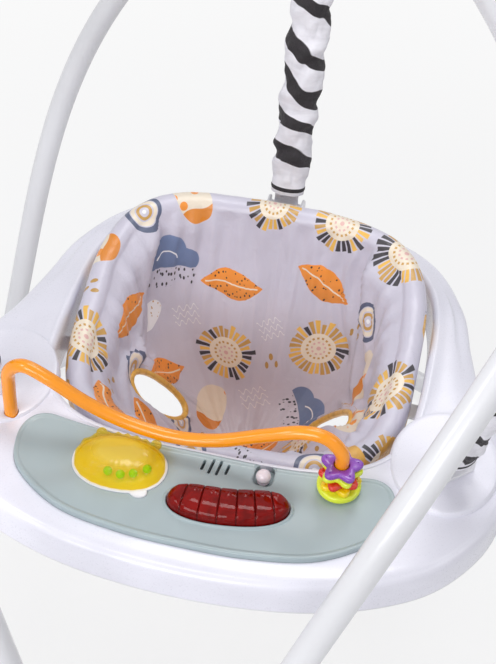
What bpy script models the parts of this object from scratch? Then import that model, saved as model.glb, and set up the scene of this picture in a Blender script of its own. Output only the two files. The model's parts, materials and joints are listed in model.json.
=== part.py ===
# Free-standing baby jumper: a tray with a fabric seat hangs on three springs from a three-arch stand.
# Units are metres, +Z is up, the floor is z = 0 and the child faces -Y.

from math import atan2, ceil, cos, hypot, pi, radians, sin, sqrt, tan

import bmesh
import bpy
from mathutils import Vector

# Clearances
GAP = 0.0003             # between pieces that touch
RUNNING_GAP = 0.0008     # round a piece that slides or turns
CUT_REACH = 0.020        # how far a cutter runs past what it cuts

# Stand
FLOOR_RING_RADIUS = 0.430
HUB_DISTANCE = 0.330     # hub to the middle of the stand
HUB_HEIGHT = 0.815
TUBE_RADIUS = 0.0125
TUBE_WALL = 0.0015
LEG_LEAN = 12.0          # degrees from upright, at the foot
HUB_SOCKET_SLOPE = 42.0  # degrees from level
HUB_SOCKET_DEPTH = 0.042
HUB_HALF_SPAN = 0.066
HUB_HALF_DEPTH = 0.026
HUB_HALF_HEIGHT = 0.030
HUB_END_HALF_HEIGHT = 0.0195
HUB_CAVITY_HALF_WIDTH = 0.014
HUB_WALL = 0.004
FLOOR_TUBE_HEIGHT = 0.024
FOOT_HALF_ANGLE = 11.0   # degrees of the floor ring
SOCKET_END_ANGLE = 5.0
SOCKET_MOUTH_ANGLE = 12.5
FOOT_HALF_WIDTH = 0.031
FOOT_HALF_HEIGHT = 0.021
LEG_SPREAD = 0.030       # each leg socket to the middle of its foot
LEG_BOTTOM = 0.050
BOSS_TOP = 0.100
BOSS_WALL = 0.0065
PIN_RADIUS = 0.003
PIN_HEAD_RADIUS = 0.0055

# Tray, measured from the middle of its opening at deck level
DECK_HEIGHT = 0.430
TRAY_SETBACK = 0.030     # opening's middle behind the stand's middle
OPENING_HALF_WIDTH = 0.181
OPENING_REAR = 0.168
OPENING_FRONT = 0.154
OPENING_SQUARENESS = 3.6
TRAY_OUTLINE = ((0, 0.207), (0.095, 0.201), (0.168, 0.166), (0.208, 0.105), (0.224, 0.045),
                (0.242, -0.015), (0.268, -0.070), (0.278, -0.120), (0.262, -0.180),
                (0.212, -0.238), (0.120, -0.277), (0, -0.290))
TRAY_STATIONS = 44
TRAY_WALL = 0.003
TRAY_DEPTH = 0.044
LIP_WIDTH = 0.014
EDGE_DROP = 0.009
FRONT_PAD = (0.215, -0.112)
FRONT_PAD_SIZE = (0.049, 0.060)
REAR_PAD_SIZE = (0.034, 0.0155)
ANCHOR_PAD_TOP = 0.002
FRONT_ANCHOR = (0.222, -0.125)
REAR_ANCHOR_Y = 0.188
BASE_THICKNESS = 0.003
POST_RADIUS = 0.004

# Toy panel
PANEL_OUTLINE = ((0, -0.1600), (0.070, -0.1595), (0.128, -0.1535), (0.158, -0.1500), (0.174, -0.161),
                 (0.178, -0.185), (0.166, -0.218), (0.120, -0.250), (0.060, -0.2625), (0, -0.265))
PANEL_BOTTOM = -0.0045
PANEL_TOP = 0.0010
PANEL_BEAD = 0.0012      # raised line inside the panel's edge
SLOT_X = (-0.0017, 0.0059, 0.0132, 0.0211)
SLOT_Y = -0.1733
SLOT_LENGTHS = (0.0125, 0.018, 0.018, 0.0125)
SLOT_WIDTH = 0.0028
SLOT_SLANT = 7.0
SPEAKER_RADIUS = 0.0125
SPEAKER_DEPTH = 0.016
RECESS_CENTRE = (0.0551, -0.1712)
RECESS_HALF_WIDTH = 0.0092
RECESS_HALF_LENGTH = 0.0116
KNOB_RADIUS = 0.0077
KNOB_HEIGHT = 0.0035
KNOB_STEM = 0.0028
SWITCH_SIZE = (0.020, 0.021, 0.010)

# Lamp
LENS_CENTRE = (0.031, -0.2135)
LENS_TURN = 8.0          # degrees
LENS_LENGTH = 0.112
LENS_HALF_WIDTH = 0.0185
LENS_BEND_RADIUS = 0.190
LENS_HEIGHT = 0.0150
LENS_SEGMENTS = 7
LENS_GROOVE = 0.0011
LENS_WALL = 0.0022
LENS_BOTTOM = -0.0060
LENS_LIP_WIDTH = 0.0026
LENS_LIP_HEIGHT = 0.0022
BOARD_THICKNESS = 0.0016
DIODE_RADIUS = 0.0025
DIODE_HEIGHT = 0.0045
DIODE_SPACING = 0.032

# Rattle
RATTLE_CENTRE = (-0.076, -0.1925)
RATTLE_HALF_WIDTH = 0.0425
RATTLE_HALF_LENGTH = 0.030
RATTLE_HEIGHT = 0.019
RATTLE_WALL = 0.0018
RATTLE_LOBES = 12
RATTLE_LOBE_DEPTH = 0.0022
RATTLE_KNOB_ANGLES = (42.0, 133.0)
RATTLE_KNOB_RISE = 0.0075
RATTLE_BASE_THICKNESS = 0.002
RATTLE_BASE_RIM = 0.0020
RATTLE_SEAT_DEPTH = 0.0006
RATTLE_TAB_ANGLE = -48.0
RATTLE_TAB_RISE = 0.0065
RATTLE_BALL_RADIUS = 0.0042
RATTLE_BALLS = ((-0.049, -0.196), (-0.060, -0.204), (-0.071, -0.208), (-0.083, -0.207))

# Electronics
CELL_RADIUS = 0.0071
CELL_LENGTH = 0.050
CELL_PITCH = 0.0152
BATTERY_CENTRE = (0.0, -0.223)
BATTERY_WALL = 0.0016
DOOR_THICKNESS = 0.0024
CIRCUIT_CENTRE = (0.100, -0.213)
CIRCUIT_SIZE = (0.060, 0.040)
CIRCUIT_HEIGHT = -0.030

# Bead tube and its beads
BEAD_TUBE_RADIUS = 0.0065
BEAD_AXIS = (0.124, -0.168)
BEAD_TUBE_FOOT = -0.012
BEAD_TUBE_ROUTE = ((0.124, -0.168, -0.012), (0.124, -0.168, 0.030), (0.1225, -0.168, 0.050),
                   (0.108, -0.168, 0.066), (0.085, -0.168, 0.067), (0.050, -0.168, 0.052),
                   (0.009, -0.168, 0.033), (-0.030, -0.168, 0.026), (-0.073, -0.168, 0.032),
                   (-0.113, -0.168, 0.048), (-0.149, -0.167, 0.070), (-0.173, -0.164, 0.077),
                   (-0.189, -0.160, 0.062), (-0.192, -0.158, 0.036), (-0.192, -0.158, -0.012))
STAR_RADIUS = 0.0168
STAR_POINT = 0.0033
STAR_HEIGHT = 0.0062
RING_BEAD_RADIUS = 0.0205
RING_BEAD_HEIGHT = 0.0072
PURPLE_LIFT = 0.008

# Seat
SEAT_CENTRE_Y = 0.006
RING_HALF_WIDTH = 0.1615
RING_HALF_LENGTH = 0.1445
RING_SQUARENESS = 3.2
RING_RADIUS = 0.006
RING_FRONT_Z = -0.025
RING_REAR_Z = 0.032
RISE_FROM_Y = -0.10
RISE_TO_Y = 0.15
ROLL_RADIUS = 0.011
FABRIC_THICKNESS = 0.003
SKIRT_LENGTH = 0.034
SKIRT_LOWEST = -0.042
BUCKET_DEPTH = 0.195
BUCKET_STATIONS = 32
LEG_HOLE = (0.0915, 0.0047)
LEG_HOLE_SIZE = (0.040, 0.024)
LEG_HOLE_TURN = 52.0
BINDING_RADIUS = 0.0035
TAB_ANGLES = (38, 97, 150, 210, 263, 322)
TAB_HALF_WIDTH = 0.009
TAB_THICKNESS = 0.003
TAB_FOOT = 0.012         # reach past the opening's edge

# Straps
BAR_HEIGHT = 0.0125      # anchor bar above its pad
BAR_RADIUS = 0.003
STRAP_HALF_WIDTH = 0.0125
STRAP_HALF_THICKNESS = 0.0015
STRAP_LENGTH = 0.135
STRAP_EYE_RADIUS = 0.0045
ANCHOR_HALF_WIDTH = 0.0205
ANCHOR_HALF_DEPTH = 0.0085
ANCHOR_CHEEK = 0.004
HANGER_DROP = 0.006      # hanger pin below the hub's middle
HOOK_RADIUS = 0.0066
HOOK_PLAY = 0.0008
WIRE_RADIUS = 0.0012
COIL_RADIUS = 0.0088
COIL_CURLS = 7
SLEEVE_START = 0.016     # along the strap, from the anchor bar
SLEEVE_WALL = 0.0018
SLEEVE_HALF_WIDTH = 0.0205
SLEEVE_HALF_DEPTH = 0.0165
SLEEVE_GATHERS = 7
SLEEVE_GATHER_DEPTH = 0.0022
SLEEVE_CUFF = 0.86

# The stand's middle lies where the whole jumper is centred front to back
STAND_Y = (FOOT_HALF_WIDTH - TUBE_RADIUS) / 2
TRAY_ORIGIN = Vector((0, STAND_Y + TRAY_SETBACK, DECK_HEIGHT))
UP = Vector((0, 0, 1))
HUBS = {"rear": 90.0, "left": 210.0, "right": 330.0}
FEET = {"front": 270.0, "rear_right": 30.0, "rear_left": 150.0}


# Materials

def material(name, colour, roughness=0.4, metallic=0.0):
    """Principled material, made once per name."""
    found = bpy.data.materials.get(name)
    if found:
        return found
    made = bpy.data.materials.new(name)
    made.use_nodes = True
    shader = made.node_tree.nodes["Principled BSDF"]
    shader.inputs["Base Color"].default_value = (*colour, 1)
    shader.inputs["Roughness"].default_value = roughness
    shader.inputs["Metallic"].default_value = metallic
    return made


COLOURS = {
    "white_steel": ((0.86, 0.86, 0.88), 0.35, 0.1),
    "spring_steel": ((0.62, 0.63, 0.66), 0.3, 1.0),
    "grey_green_plastic": ((0.47, 0.54, 0.56), 0.35, 0.0),
    "pale_plastic": ((0.80, 0.79, 0.88), 0.3, 0.0),
    "dark_rubber": ((0.10, 0.10, 0.11), 0.8, 0.0),
    "white_plastic": ((0.86, 0.85, 0.86), 0.35, 0.0),
    "orange_plastic": ((0.95, 0.36, 0.03), 0.2, 0.0),
    "red_lens": ((0.30, 0.01, 0.01), 0.1, 0.0),
    "yellow_lens": ((0.98, 0.72, 0.05), 0.12, 0.0),
    "purple_plastic": ((0.35, 0.12, 0.60), 0.3, 0.0),
    "lime_plastic": ((0.66, 0.85, 0.08), 0.3, 0.0),
    "red_plastic": ((0.75, 0.07, 0.04), 0.3, 0.0),
    "yellow_plastic": ((0.98, 0.78, 0.02), 0.3, 0.0),
    "green_plastic": ((0.25, 0.75, 0.05), 0.3, 0.0),
    "pink_plastic": ((0.90, 0.72, 0.80), 0.3, 0.0),
    "lavender_fabric": ((0.60, 0.57, 0.70), 0.6, 0.0),
    "gold_satin": ((0.55, 0.33, 0.07), 0.45, 0.0),
    "striped_fabric": ((0.75, 0.75, 0.78), 0.8, 0.0),
    "white_webbing": ((0.80, 0.80, 0.83), 0.8, 0.0),
    "black_plastic": ((0.05, 0.05, 0.06), 0.5, 0.0),
    "board_green": ((0.05, 0.25, 0.12), 0.5, 0.0),
    "cell_jacket": ((0.12, 0.14, 0.18), 0.35, 0.2),
}


def finish(obj, slot):
    """Gives the object its material and smooth round faces."""
    colour, roughness, metallic = COLOURS[slot]
    obj.data.materials.clear()
    obj.data.materials.append(material(slot, colour, roughness, metallic))
    obj.data.shade_smooth()
    obj.data.set_sharp_from_angle(angle=radians(40))
    return obj


# Mesh helpers

def add_object(name, mesh_data, parent=None, location=(0, 0, 0)):
    obj = bpy.data.objects.new(name, mesh_data)
    bpy.context.collection.objects.link(obj)
    obj.location = location
    obj.parent = parent
    return obj


def mesh_from(name, points, faces):
    """Mesh of points and faces whose closed bodies face outwards."""
    data = bpy.data.meshes.new(name)
    data.from_pydata([tuple(p) for p in points], [], faces)
    shape = bmesh.new()
    shape.from_mesh(data)
    bmesh.ops.recalc_face_normals(shape, faces=shape.faces)
    shape.to_mesh(data)
    shape.free()
    return data


def loft(name, rings, loop=False):
    """Closed body through rings of equal count: capped at both ends, or joined end to end."""
    count = len(rings[0])
    points = [p for ring in rings for p in ring]
    faces = []
    for k in range(len(rings) if loop else len(rings) - 1):
        low, high = k * count, (k + 1) % len(rings) * count
        for i in range(count):
            j = (i + 1) % count
            faces.append((low + i, low + j, high + j, high + i))
    if not loop:
        faces.append(tuple(range(count)))
        faces.append(tuple(range(len(points) - count, len(points))))
    return mesh_from(name, points, faces)


def circle(radius, sides):
    return [(radius * cos(2 * pi * k / sides), radius * sin(2 * pi * k / sides)) for k in range(sides)]


def superellipse(half_a, half_b, squareness, sides):
    """Rounded rectangle as points at even angles round the middle."""
    points = []
    for k in range(sides):
        c, s = cos(2 * pi * k / sides), sin(2 * pi * k / sides)
        reach = (abs(c / half_a) ** squareness + abs(s / half_b) ** squareness) ** (-1 / squareness)
        points.append((reach * c, reach * s))
    return points


def sweep_rings(path, sections, closed=False, side=None):
    """Rings along a path. Each section's points are (across, up); side fixes the across direction."""
    count = len(path)
    across = None
    rings = []
    for k, here in enumerate(path):
        before = path[(k - 1) % count] if closed else path[max(k - 1, 0)]
        after = path[(k + 1) % count] if closed else path[min(k + 1, count - 1)]
        ahead = (after - before).normalized()
        if side is not None:
            across = (side - ahead * side.dot(ahead)).normalized()
        elif across is None:
            across = ahead.orthogonal().normalized()
        else:
            across = (across - ahead * across.dot(ahead)).normalized()
        over = ahead.cross(across)
        section = sections[k] if isinstance(sections[0], list) else sections
        rings.append([here + across * a + over * b for a, b in section])
    return rings


def sweep(name, path, sections, closed=False, side=None):
    """Body along a path."""
    return loft(name, sweep_rings(path, sections, closed, side), loop=closed)


def hollow_tube(name, path, radius, wall, sides=8, side=None):
    """Round tube along a path, open at both ends."""
    outer = sweep_rings(path, circle(radius, sides), side=side)
    inner = sweep_rings(path, circle(radius - wall, sides), side=side)
    return loft(name, outer + inner[::-1], loop=True)


def cylinder_between(name, start, end, radius, sides=12):
    return sweep(name, [Vector(start), Vector(end)], circle(radius, sides))


def bore_between(start, end, radius, sides=12):
    """Cutter whose flats clear a round piece of this radius."""
    return cylinder_between("bore", start, end, radius / cos(pi / sides), sides)


def prism(name, outline, low, high):
    """Upright body on a flat outline of (x, y) points."""
    return loft(name, [[Vector((x, y, z)) for x, y in outline] for z in (low, high)])


def box(name, centre, size):
    cx, cy, cz = centre
    hx, hy, hz = (s / 2 for s in size)
    outline = [(cx - hx, cy - hy), (cx + hx, cy - hy), (cx + hx, cy + hy), (cx - hx, cy + hy)]
    return prism(name, outline, cz - hz, cz + hz)


def dome(name, centre, radius, height, low, sides=10, steps=3):
    """Upright round body with a domed top."""
    x, y = centre
    rings = []
    levels = [(1.0, low), (1.0, height - radius)]
    levels += [(cos(k * pi / 2 / steps), height - radius + radius * sin(k * pi / 2 / steps))
               for k in range(1, steps)]
    levels.append((0.12, height))
    for scale, z in levels:
        rings.append([Vector((x + a * scale, y + b * scale, z)) for a, b in circle(radius, sides)])
    return loft(name, rings)


def boolean(target, tool_mesh, operation, solver="EXACT"):
    """Cuts or joins with a helper body that stays in the target's own frame."""
    tool = add_object(f"tool_{target.name}_{len(target.modifiers)}", tool_mesh, target.parent, target.location)
    tool.hide_render = True
    tool.display_type = "WIRE"
    step = target.modifiers.new(f"{operation.lower()}_{len(target.modifiers)}", "BOOLEAN")
    step.operation = operation
    step.solver = solver
    step.object = tool


def cut(target, tool_mesh):
    boolean(target, tool_mesh, "DIFFERENCE")


def join(target, tool_mesh):
    boolean(target, tool_mesh, "UNION")


# Outlines

def smooth_closed(points, steps):
    """Catmull-Rom curve through a closed list of points."""
    count = len(points)
    curve = []
    for k in range(count):
        p0, p1, p2, p3 = (Vector(points[(k + d) % count]) for d in (-1, 0, 1, 2))
        for s in range(steps):
            t = s / steps
            curve.append(0.5 * (2 * p1 + (p2 - p0) * t + (2 * p0 - 5 * p1 + 4 * p2 - p3) * t * t
                                + (3 * p1 - p0 - 3 * p2 + p3) * t ** 3))
    return curve


def smooth_open(points, steps):
    """Catmull-Rom curve through an open list of points, from first to last."""
    points = [Vector(p) for p in points]
    ends = [points[0] * 2 - points[1]] + points + [points[-1] * 2 - points[-2]]
    curve = []
    for k in range(1, len(ends) - 2):
        p0, p1, p2, p3 = ends[k - 1:k + 3]
        for s in range(steps):
            t = s / steps
            curve.append(0.5 * (2 * p1 + (p2 - p0) * t + (2 * p0 - 5 * p1 + 4 * p2 - p3) * t * t
                                + (3 * p1 - p0 - 3 * p2 + p3) * t ** 3))
    return curve + [points[-1]]


def mirrored_outline(half, steps):
    """Smooth outline from its right half, which starts and ends on the middle line."""
    left = [(-x, y) for x, y in reversed(half[1:-1])]
    return smooth_closed([(x, y, 0) for x, y in (*half, *left)], steps)


def polar_reach(outline, angle):
    """Distance from the origin to a closed outline, at an angle in radians."""
    best = 0.0
    way = Vector((cos(angle), sin(angle)))
    for k, a in enumerate(outline):
        b = outline[(k + 1) % len(outline)]
        edge = Vector((b[0] - a[0], b[1] - a[1]))
        base = Vector((a[0], a[1]))
        cross = way.x * edge.y - way.y * edge.x
        if abs(cross) < 1e-12:
            continue
        along = (base.x * edge.y - base.y * edge.x) / cross
        share = (base.x * way.y - base.y * way.x) / cross
        if -1e-9 <= share <= 1 + 1e-9:
            best = max(best, along)
    return best


def offset_outline(outline, distance):
    """Moves each point of a closed outline outwards by a distance."""
    count = len(outline)
    area = sum(outline[k][0] * outline[(k + 1) % count][1] - outline[(k + 1) % count][0] * outline[k][1]
               for k in range(count))
    turn = 1 if area > 0 else -1
    moved = []
    for k, here in enumerate(outline):
        before, after = outline[k - 1], outline[(k + 1) % count]
        ahead = Vector((after[0] - before[0], after[1] - before[1])).normalized()
        moved.append((here[0] + turn * ahead.y * distance, here[1] - turn * ahead.x * distance))
    return moved


def blend(t):
    """Smooth step from 0 to 1."""
    t = min(max(t, 0.0), 1.0)
    return t * t * (3 - 2 * t)


# Stand

def outward(angle):
    return Vector((cos(radians(angle)), sin(radians(angle)), 0))


def hub_place(angle):
    return Vector((0, STAND_Y, HUB_HEIGHT)) + outward(angle) * HUB_DISTANCE


def foot_place(angle):
    return Vector((0, STAND_Y, 0)) + outward(angle) * FLOOR_RING_RADIUS


def floor_arc(start, end, steps, height, radius=FLOOR_RING_RADIUS):
    """Points along the floor ring between two angles in degrees."""
    return [Vector((0, STAND_Y, height)) + outward(start + (end - start) * k / steps) * radius
            for k in range(steps + 1)]


def floor_point(angle):
    return floor_arc(angle, angle, 1, FLOOR_TUBE_HEIGHT)[0]


def hub_socket(hub_angle, side):
    """Mouth and inner end of a hub's leg socket; side is +1 counter-clockwise."""
    hub = hub_place(hub_angle)
    tangent = UP.cross(outward(hub_angle)) * side
    slope = radians(HUB_SOCKET_SLOPE)
    way = tangent * cos(slope) - UP * sin(slope)
    mouth = hub + tangent * HUB_HALF_SPAN - UP * (HUB_HALF_SPAN * tan(slope) * 0.62)
    return mouth, mouth - way * HUB_SOCKET_DEPTH, way


def foot_socket_axis(foot_angle, hub_angle):
    """Bottom point and direction of the leg that rises from a foot towards a hub."""
    foot = foot_place(foot_angle)
    tangent = UP.cross(outward(foot_angle))
    towards = hub_place(hub_angle) - foot
    side = 1 if tangent.dot(towards) > 0 else -1
    level = Vector((towards.x, towards.y, 0)).normalized()
    lean = radians(LEG_LEAN)
    way = level * sin(lean) + UP * cos(lean)
    return foot + tangent * side * LEG_SPREAD + UP * LEG_BOTTOM, way


def leg_path(foot_angle, hub_angle, steps=10):
    """Straight ends in both sockets, and one smooth bend between them."""
    start, start_way = foot_socket_axis(foot_angle, hub_angle)
    tangent = UP.cross(outward(hub_angle))
    side = 1 if tangent.dot(start - hub_place(hub_angle)) > 0 else -1
    mouth, end, way = hub_socket(hub_angle, side)
    first = start + start_way * (BOSS_TOP - LEG_BOTTOM + 0.01)
    last = mouth + way * 0.01
    reach = (last - first).length * 0.42
    path = [start]
    for k in range(steps):
        t = k / (steps - 1)
        a, b = first + start_way * reach, last + way * reach
        path.append(first * (1 - t) ** 3 + a * 3 * t * (1 - t) ** 2 + b * 3 * t * t * (1 - t) + last * t ** 3)
    path.append(end + way * GAP * 2)
    return path


def build_leg_tubes():
    pairs = {"rear_arch_right_tube": ("rear_right", "rear"), "rear_arch_left_tube": ("rear_left", "rear"),
             "left_arch_rear_tube": ("rear_left", "left"), "left_arch_front_tube": ("front", "left"),
             "right_arch_front_tube": ("front", "right"), "right_arch_rear_tube": ("rear_right", "right")}
    for name, (foot, hub) in pairs.items():
        data = hollow_tube(name, leg_path(FEET[foot], HUBS[hub]), TUBE_RADIUS, TUBE_WALL)
        finish(add_object(name, data), "white_steel")


def build_floor_tubes():
    ends = {"floor_tube_rear": ("rear_right", "rear_left"), "floor_tube_left": ("rear_left", "front"),
            "floor_tube_right": ("front", "rear_right")}
    for name, (first, second) in ends.items():
        start = FEET[first]
        end = FEET[second] + (360 if FEET[second] < FEET[first] else 0)
        bend = floor_arc(start + SOCKET_MOUTH_ANGLE, end - SOCKET_MOUTH_ANGLE, 12, FLOOR_TUBE_HEIGHT)
        path = [floor_point(start + SOCKET_END_ANGLE), *bend, floor_point(end - SOCKET_END_ANGLE)]
        finish(add_object(name, hollow_tube(name, path, TUBE_RADIUS, TUBE_WALL, side=UP)), "white_steel")


def foot_section(width, height):
    """Domed top over a flat sole; the first of each pair is upwards."""
    right = [(height, width * 0.4), (height * 0.84, width * 0.82), (height * 0.35, width),
             (-FOOT_HALF_HEIGHT * 0.7, width), (-FOOT_HALF_HEIGHT, width - 0.004)]
    return right + [(up, -across) for up, across in reversed(right)]


def build_foot(name, angle):
    """Foot block on the floor ring with two leg bosses, bored for four tubes."""
    steps = 6
    sections = []
    for k in range(steps + 1):
        fade = abs(2 * k / steps - 1) ** 3
        sections.append(foot_section(FOOT_HALF_WIDTH - 0.008 * fade, FOOT_HALF_HEIGHT - 0.004 * fade))
    path = floor_arc(angle - FOOT_HALF_ANGLE, angle + FOOT_HALF_ANGLE, steps, FOOT_HALF_HEIGHT)
    foot = add_object(name, sweep(name, path, sections, side=UP))
    hubs = [h for h in HUBS.values() if abs((h - angle + 180) % 360 - 180) < 90]
    axes = [foot_socket_axis(angle, h) for h in hubs]
    for start, way in axes:
        boss = sweep("boss", [start - way * 0.018, start + way * 0.004, start + way * (BOSS_TOP - LEG_BOTTOM - 0.003),
                              start + way * (BOSS_TOP - LEG_BOTTOM)],
                     [circle(TUBE_RADIUS + BOSS_WALL + extra, 12) for extra in (0.006, 0.001, 0, -0.0025)])
        join(foot, boss)
    for start, way in axes:
        cut(foot, bore_between(start - way * GAP * 2, start + way * (BOSS_TOP - LEG_BOTTOM + CUT_REACH), TUBE_RADIUS + GAP, 10))
    for side in (-1, 1):
        end = floor_point(angle + side * SOCKET_END_ANGLE)
        mouth = floor_point(angle + side * SOCKET_MOUTH_ANGLE)
        cut(foot, bore_between(end + (end - mouth).normalized() * GAP * 2, mouth, TUBE_RADIUS + GAP, 10))
    return finish(foot, "grey_green_plastic")


def build_feet():
    for label, angle in FEET.items():
        build_foot(f"foot_socket_{label}", angle)


def hub_frame(angle):
    """Hub's place, its outward and its tangent direction."""
    out = outward(angle)
    return hub_place(angle), out, UP.cross(out)


def hub_box(angle, out_span, tangent_half, z_span):
    """Block in a hub's own directions, from its middle."""
    hub, out, tangent = hub_frame(angle)
    rings = []
    for z in z_span:
        corners = ((out_span[0], -tangent_half), (out_span[1], -tangent_half),
                   (out_span[1], tangent_half), (out_span[0], tangent_half))
        rings.append([hub + out * a + tangent * b + UP * z for a, b in corners])
    return loft("hub_block", rings)


def build_hub(label, angle):
    """Bent top housing that takes two leg tubes and hides the hanger pin."""
    hub, out, tangent = hub_frame(angle)
    drop = HUB_HALF_SPAN * tan(radians(HUB_SOCKET_SLOPE)) * 0.62
    steps = 8
    path, sections = [], []
    for k in range(steps + 1):
        s = 2 * k / steps - 1
        path.append(hub + tangent * (HUB_HALF_SPAN * s) - UP * (drop * abs(s) ** 1.6))
        swell = 1 - blend(abs(s) * 1.15)
        height = HUB_END_HALF_HEIGHT + (HUB_HALF_HEIGHT - HUB_END_HALF_HEIGHT) * swell
        depth = HUB_END_HALF_HEIGHT + (HUB_HALF_DEPTH - HUB_END_HALF_HEIGHT) * swell
        sections.append(superellipse(depth, height, 2.8, 12))
    name = f"hub_housing_{label}"
    housing = add_object(name, sweep(name, path, sections, side=out))
    for side in (-1, 1):
        mouth, end, way = hub_socket(angle, side)
        cut(housing, bore_between(end, mouth + way * CUT_REACH * 2, TUBE_RADIUS + GAP, 10))
    cavity_top = HUB_HALF_HEIGHT * 0.42
    inner = HUB_HALF_DEPTH - HUB_WALL
    cut(housing, hub_box(angle, (-inner, inner), HUB_CAVITY_HALF_WIDTH, (-HUB_HALF_HEIGHT * 2, cavity_top)))
    pin = hub - UP * HANGER_DROP
    head = pin - out * (HUB_HALF_DEPTH + 0.001)
    tip = pin + out * (HUB_HALF_DEPTH - 0.0015)
    cut(housing, bore_between(head - out * CUT_REACH, tip + out * GAP, PIN_RADIUS + GAP))
    finish(housing, "grey_green_plastic")
    path = [head - out * 0.002, head - out * GAP, head - out * GAP * 0.99, tip]
    sections = [circle(radius, 10) for radius in (PIN_HEAD_RADIUS, PIN_HEAD_RADIUS, PIN_RADIUS, PIN_RADIUS)]
    finish(add_object(f"hanger_pin_{label}", sweep("pin", path, sections, side=UP)), "spring_steel")


def build_hubs():
    for label, angle in HUBS.items():
        build_hub(label, angle)


# Tray

def opening_point(angle):
    c, s = cos(angle), sin(angle)
    half = OPENING_REAR if s > 0 else OPENING_FRONT
    n = OPENING_SQUARENESS
    reach = (abs(c / OPENING_HALF_WIDTH) ** n + abs(s / half) ** n) ** (-1 / n)
    return Vector((reach * c, reach * s, 0))


def tray_stations():
    """Inner point, outer point and the direction between them, round the tray."""
    outline = mirrored_outline(TRAY_OUTLINE, 6)
    stations = []
    for k in range(TRAY_STATIONS):
        angle = 2 * pi * k / TRAY_STATIONS
        inner = opening_point(angle)
        outer = outward(angle * 180 / pi) * polar_reach(outline, angle)
        stations.append((inner, outer, (outer - inner).normalized()))
    return stations


def tray_loft(name, section):
    """Closed ring body; section points are ('in' or 'out', distance inwards from that edge, height)."""
    rings = []
    for inner, outer, way in tray_stations():
        ring = []
        for edge, distance, height in section:
            if edge == "in":
                point = inner + way * distance
            elif edge == "out":
                point = outer - way * distance
            else:
                point = inner + (outer - inner) * distance
            ring.append(point + UP * height)
        rings.append(ring)
    return loft(name, rings, loop=True)


def anchor_places():
    """Each strap's foot on the tray, in the tray's own frame."""
    x, y = FRONT_ANCHOR
    return {"rear": Vector((0, REAR_ANCHOR_Y, ANCHOR_PAD_TOP)),
            "left": Vector((-x, y, ANCHOR_PAD_TOP)), "right": Vector((x, y, ANCHOR_PAD_TOP))}


def pad_mesh(centre, size):
    """Raised oval with sloping sides, sunk into the deck."""
    rings = []
    for grow, z in ((0.0025, -0.011), (0.0015, ANCHOR_PAD_TOP - 0.002), (0, ANCHOR_PAD_TOP)):
        rings.append([Vector((centre[0] + a, centre[1] + b, z))
                      for a, b in superellipse(size[0] + grow, size[1] + grow, 2, 24)])
    return loft("pad", rings)


def panel_outline():
    return [(p.x, p.y) for p in mirrored_outline(PANEL_OUTLINE, 2)]


def build_tray_deck(tray):
    wall = TRAY_WALL
    section = [("in", 0, -TRAY_DEPTH), ("in", 0, -0.005), ("in", 0.003, 0.0005), ("in", 0.007, 0.001),
               ("in", LIP_WIDTH, -0.001), ("share", 0.55, -0.002), ("out", 0.014, -EDGE_DROP * 0.6),
               ("out", 0.004, -EDGE_DROP), ("out", 0, -EDGE_DROP * 1.9), ("out", 0, -TRAY_DEPTH),
               ("out", wall, -TRAY_DEPTH), ("out", wall, -EDGE_DROP * 2), ("out", 0.015, -EDGE_DROP * 0.6 - wall),
               ("share", 0.55, -0.002 - wall), ("in", wall + 0.004, -0.002 - wall), ("in", wall, -TRAY_DEPTH)]
    deck = add_object("tray_deck", tray_loft("tray_deck", section), tray)
    x, y = FRONT_PAD
    for centre, size in (((x, y), FRONT_PAD_SIZE), ((-x, y), FRONT_PAD_SIZE), ((0, REAR_ANCHOR_Y), REAR_PAD_SIZE)):
        join(deck, pad_mesh(centre, size))
    cut(deck, prism("panel_space", offset_outline(panel_outline(), GAP), -CUT_REACH, CUT_REACH))
    foot = BEAD_TUBE_ROUTE[-1]
    cut(deck, bore_between((foot[0], foot[1], -CUT_REACH), (foot[0], foot[1], CUT_REACH), BEAD_TUBE_RADIUS + GAP))
    finish(deck, "pale_plastic")


def battery_hole():
    cx, cy = BATTERY_CENTRE
    return (cx, cy, -TRAY_DEPTH), (CELL_LENGTH + 0.012, CELL_PITCH * 3 + 0.006, 0.02)


def build_tray_base(tray):
    """Closes the deck from below and carries the panel on posts."""
    wall = TRAY_WALL
    top = -TRAY_DEPTH - GAP
    section = [("in", 0, top), ("out", wall + 0.0035, top), ("out", wall + 0.0035, top + 0.010),
               ("out", wall + GAP, top + 0.010), ("out", wall + GAP, top), ("out", 0, top),
               ("out", 0.002, top - BASE_THICKNESS), ("in", 0.002, top - BASE_THICKNESS)]
    base = add_object("tray_base", tray_loft("tray_base", section), tray)
    centre, size = battery_hole()
    cut(base, box("battery_hole", centre, size))
    posts = ((-0.150, -0.180), (0.150, -0.195), (-0.100, -0.240), (0.105, -0.241))
    for x, y in posts:
        outline = [(x + a, y + b) for a, b in circle(POST_RADIUS, 8)]
        join(base, prism("post", outline, top - BASE_THICKNESS * 0.5, PANEL_BOTTOM - GAP))
    finish(base, "white_plastic")


def lens_point(along, across):
    """Place on the lens's curved centre line; along is in metres from its middle."""
    turn = along / LENS_BEND_RADIUS
    x = (LENS_BEND_RADIUS - across) * sin(turn)
    y = -(LENS_BEND_RADIUS - across) * cos(turn) + LENS_BEND_RADIUS
    y -= LENS_BEND_RADIUS * (1 - cos(LENS_LENGTH / 2 / LENS_BEND_RADIUS)) * 0.5
    c, s = cos(radians(LENS_TURN)), sin(radians(LENS_TURN))
    return LENS_CENTRE[0] + x * c - y * s, LENS_CENTRE[1] + x * s + y * c


def lens_half_width(along, inset=0.0):
    """Half width of the lens with its rounded ends."""
    share = min(abs(along) / (LENS_LENGTH / 2 - inset), 0.995)
    return (LENS_HALF_WIDTH - inset) * (1 - share ** 4) ** 0.5


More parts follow.
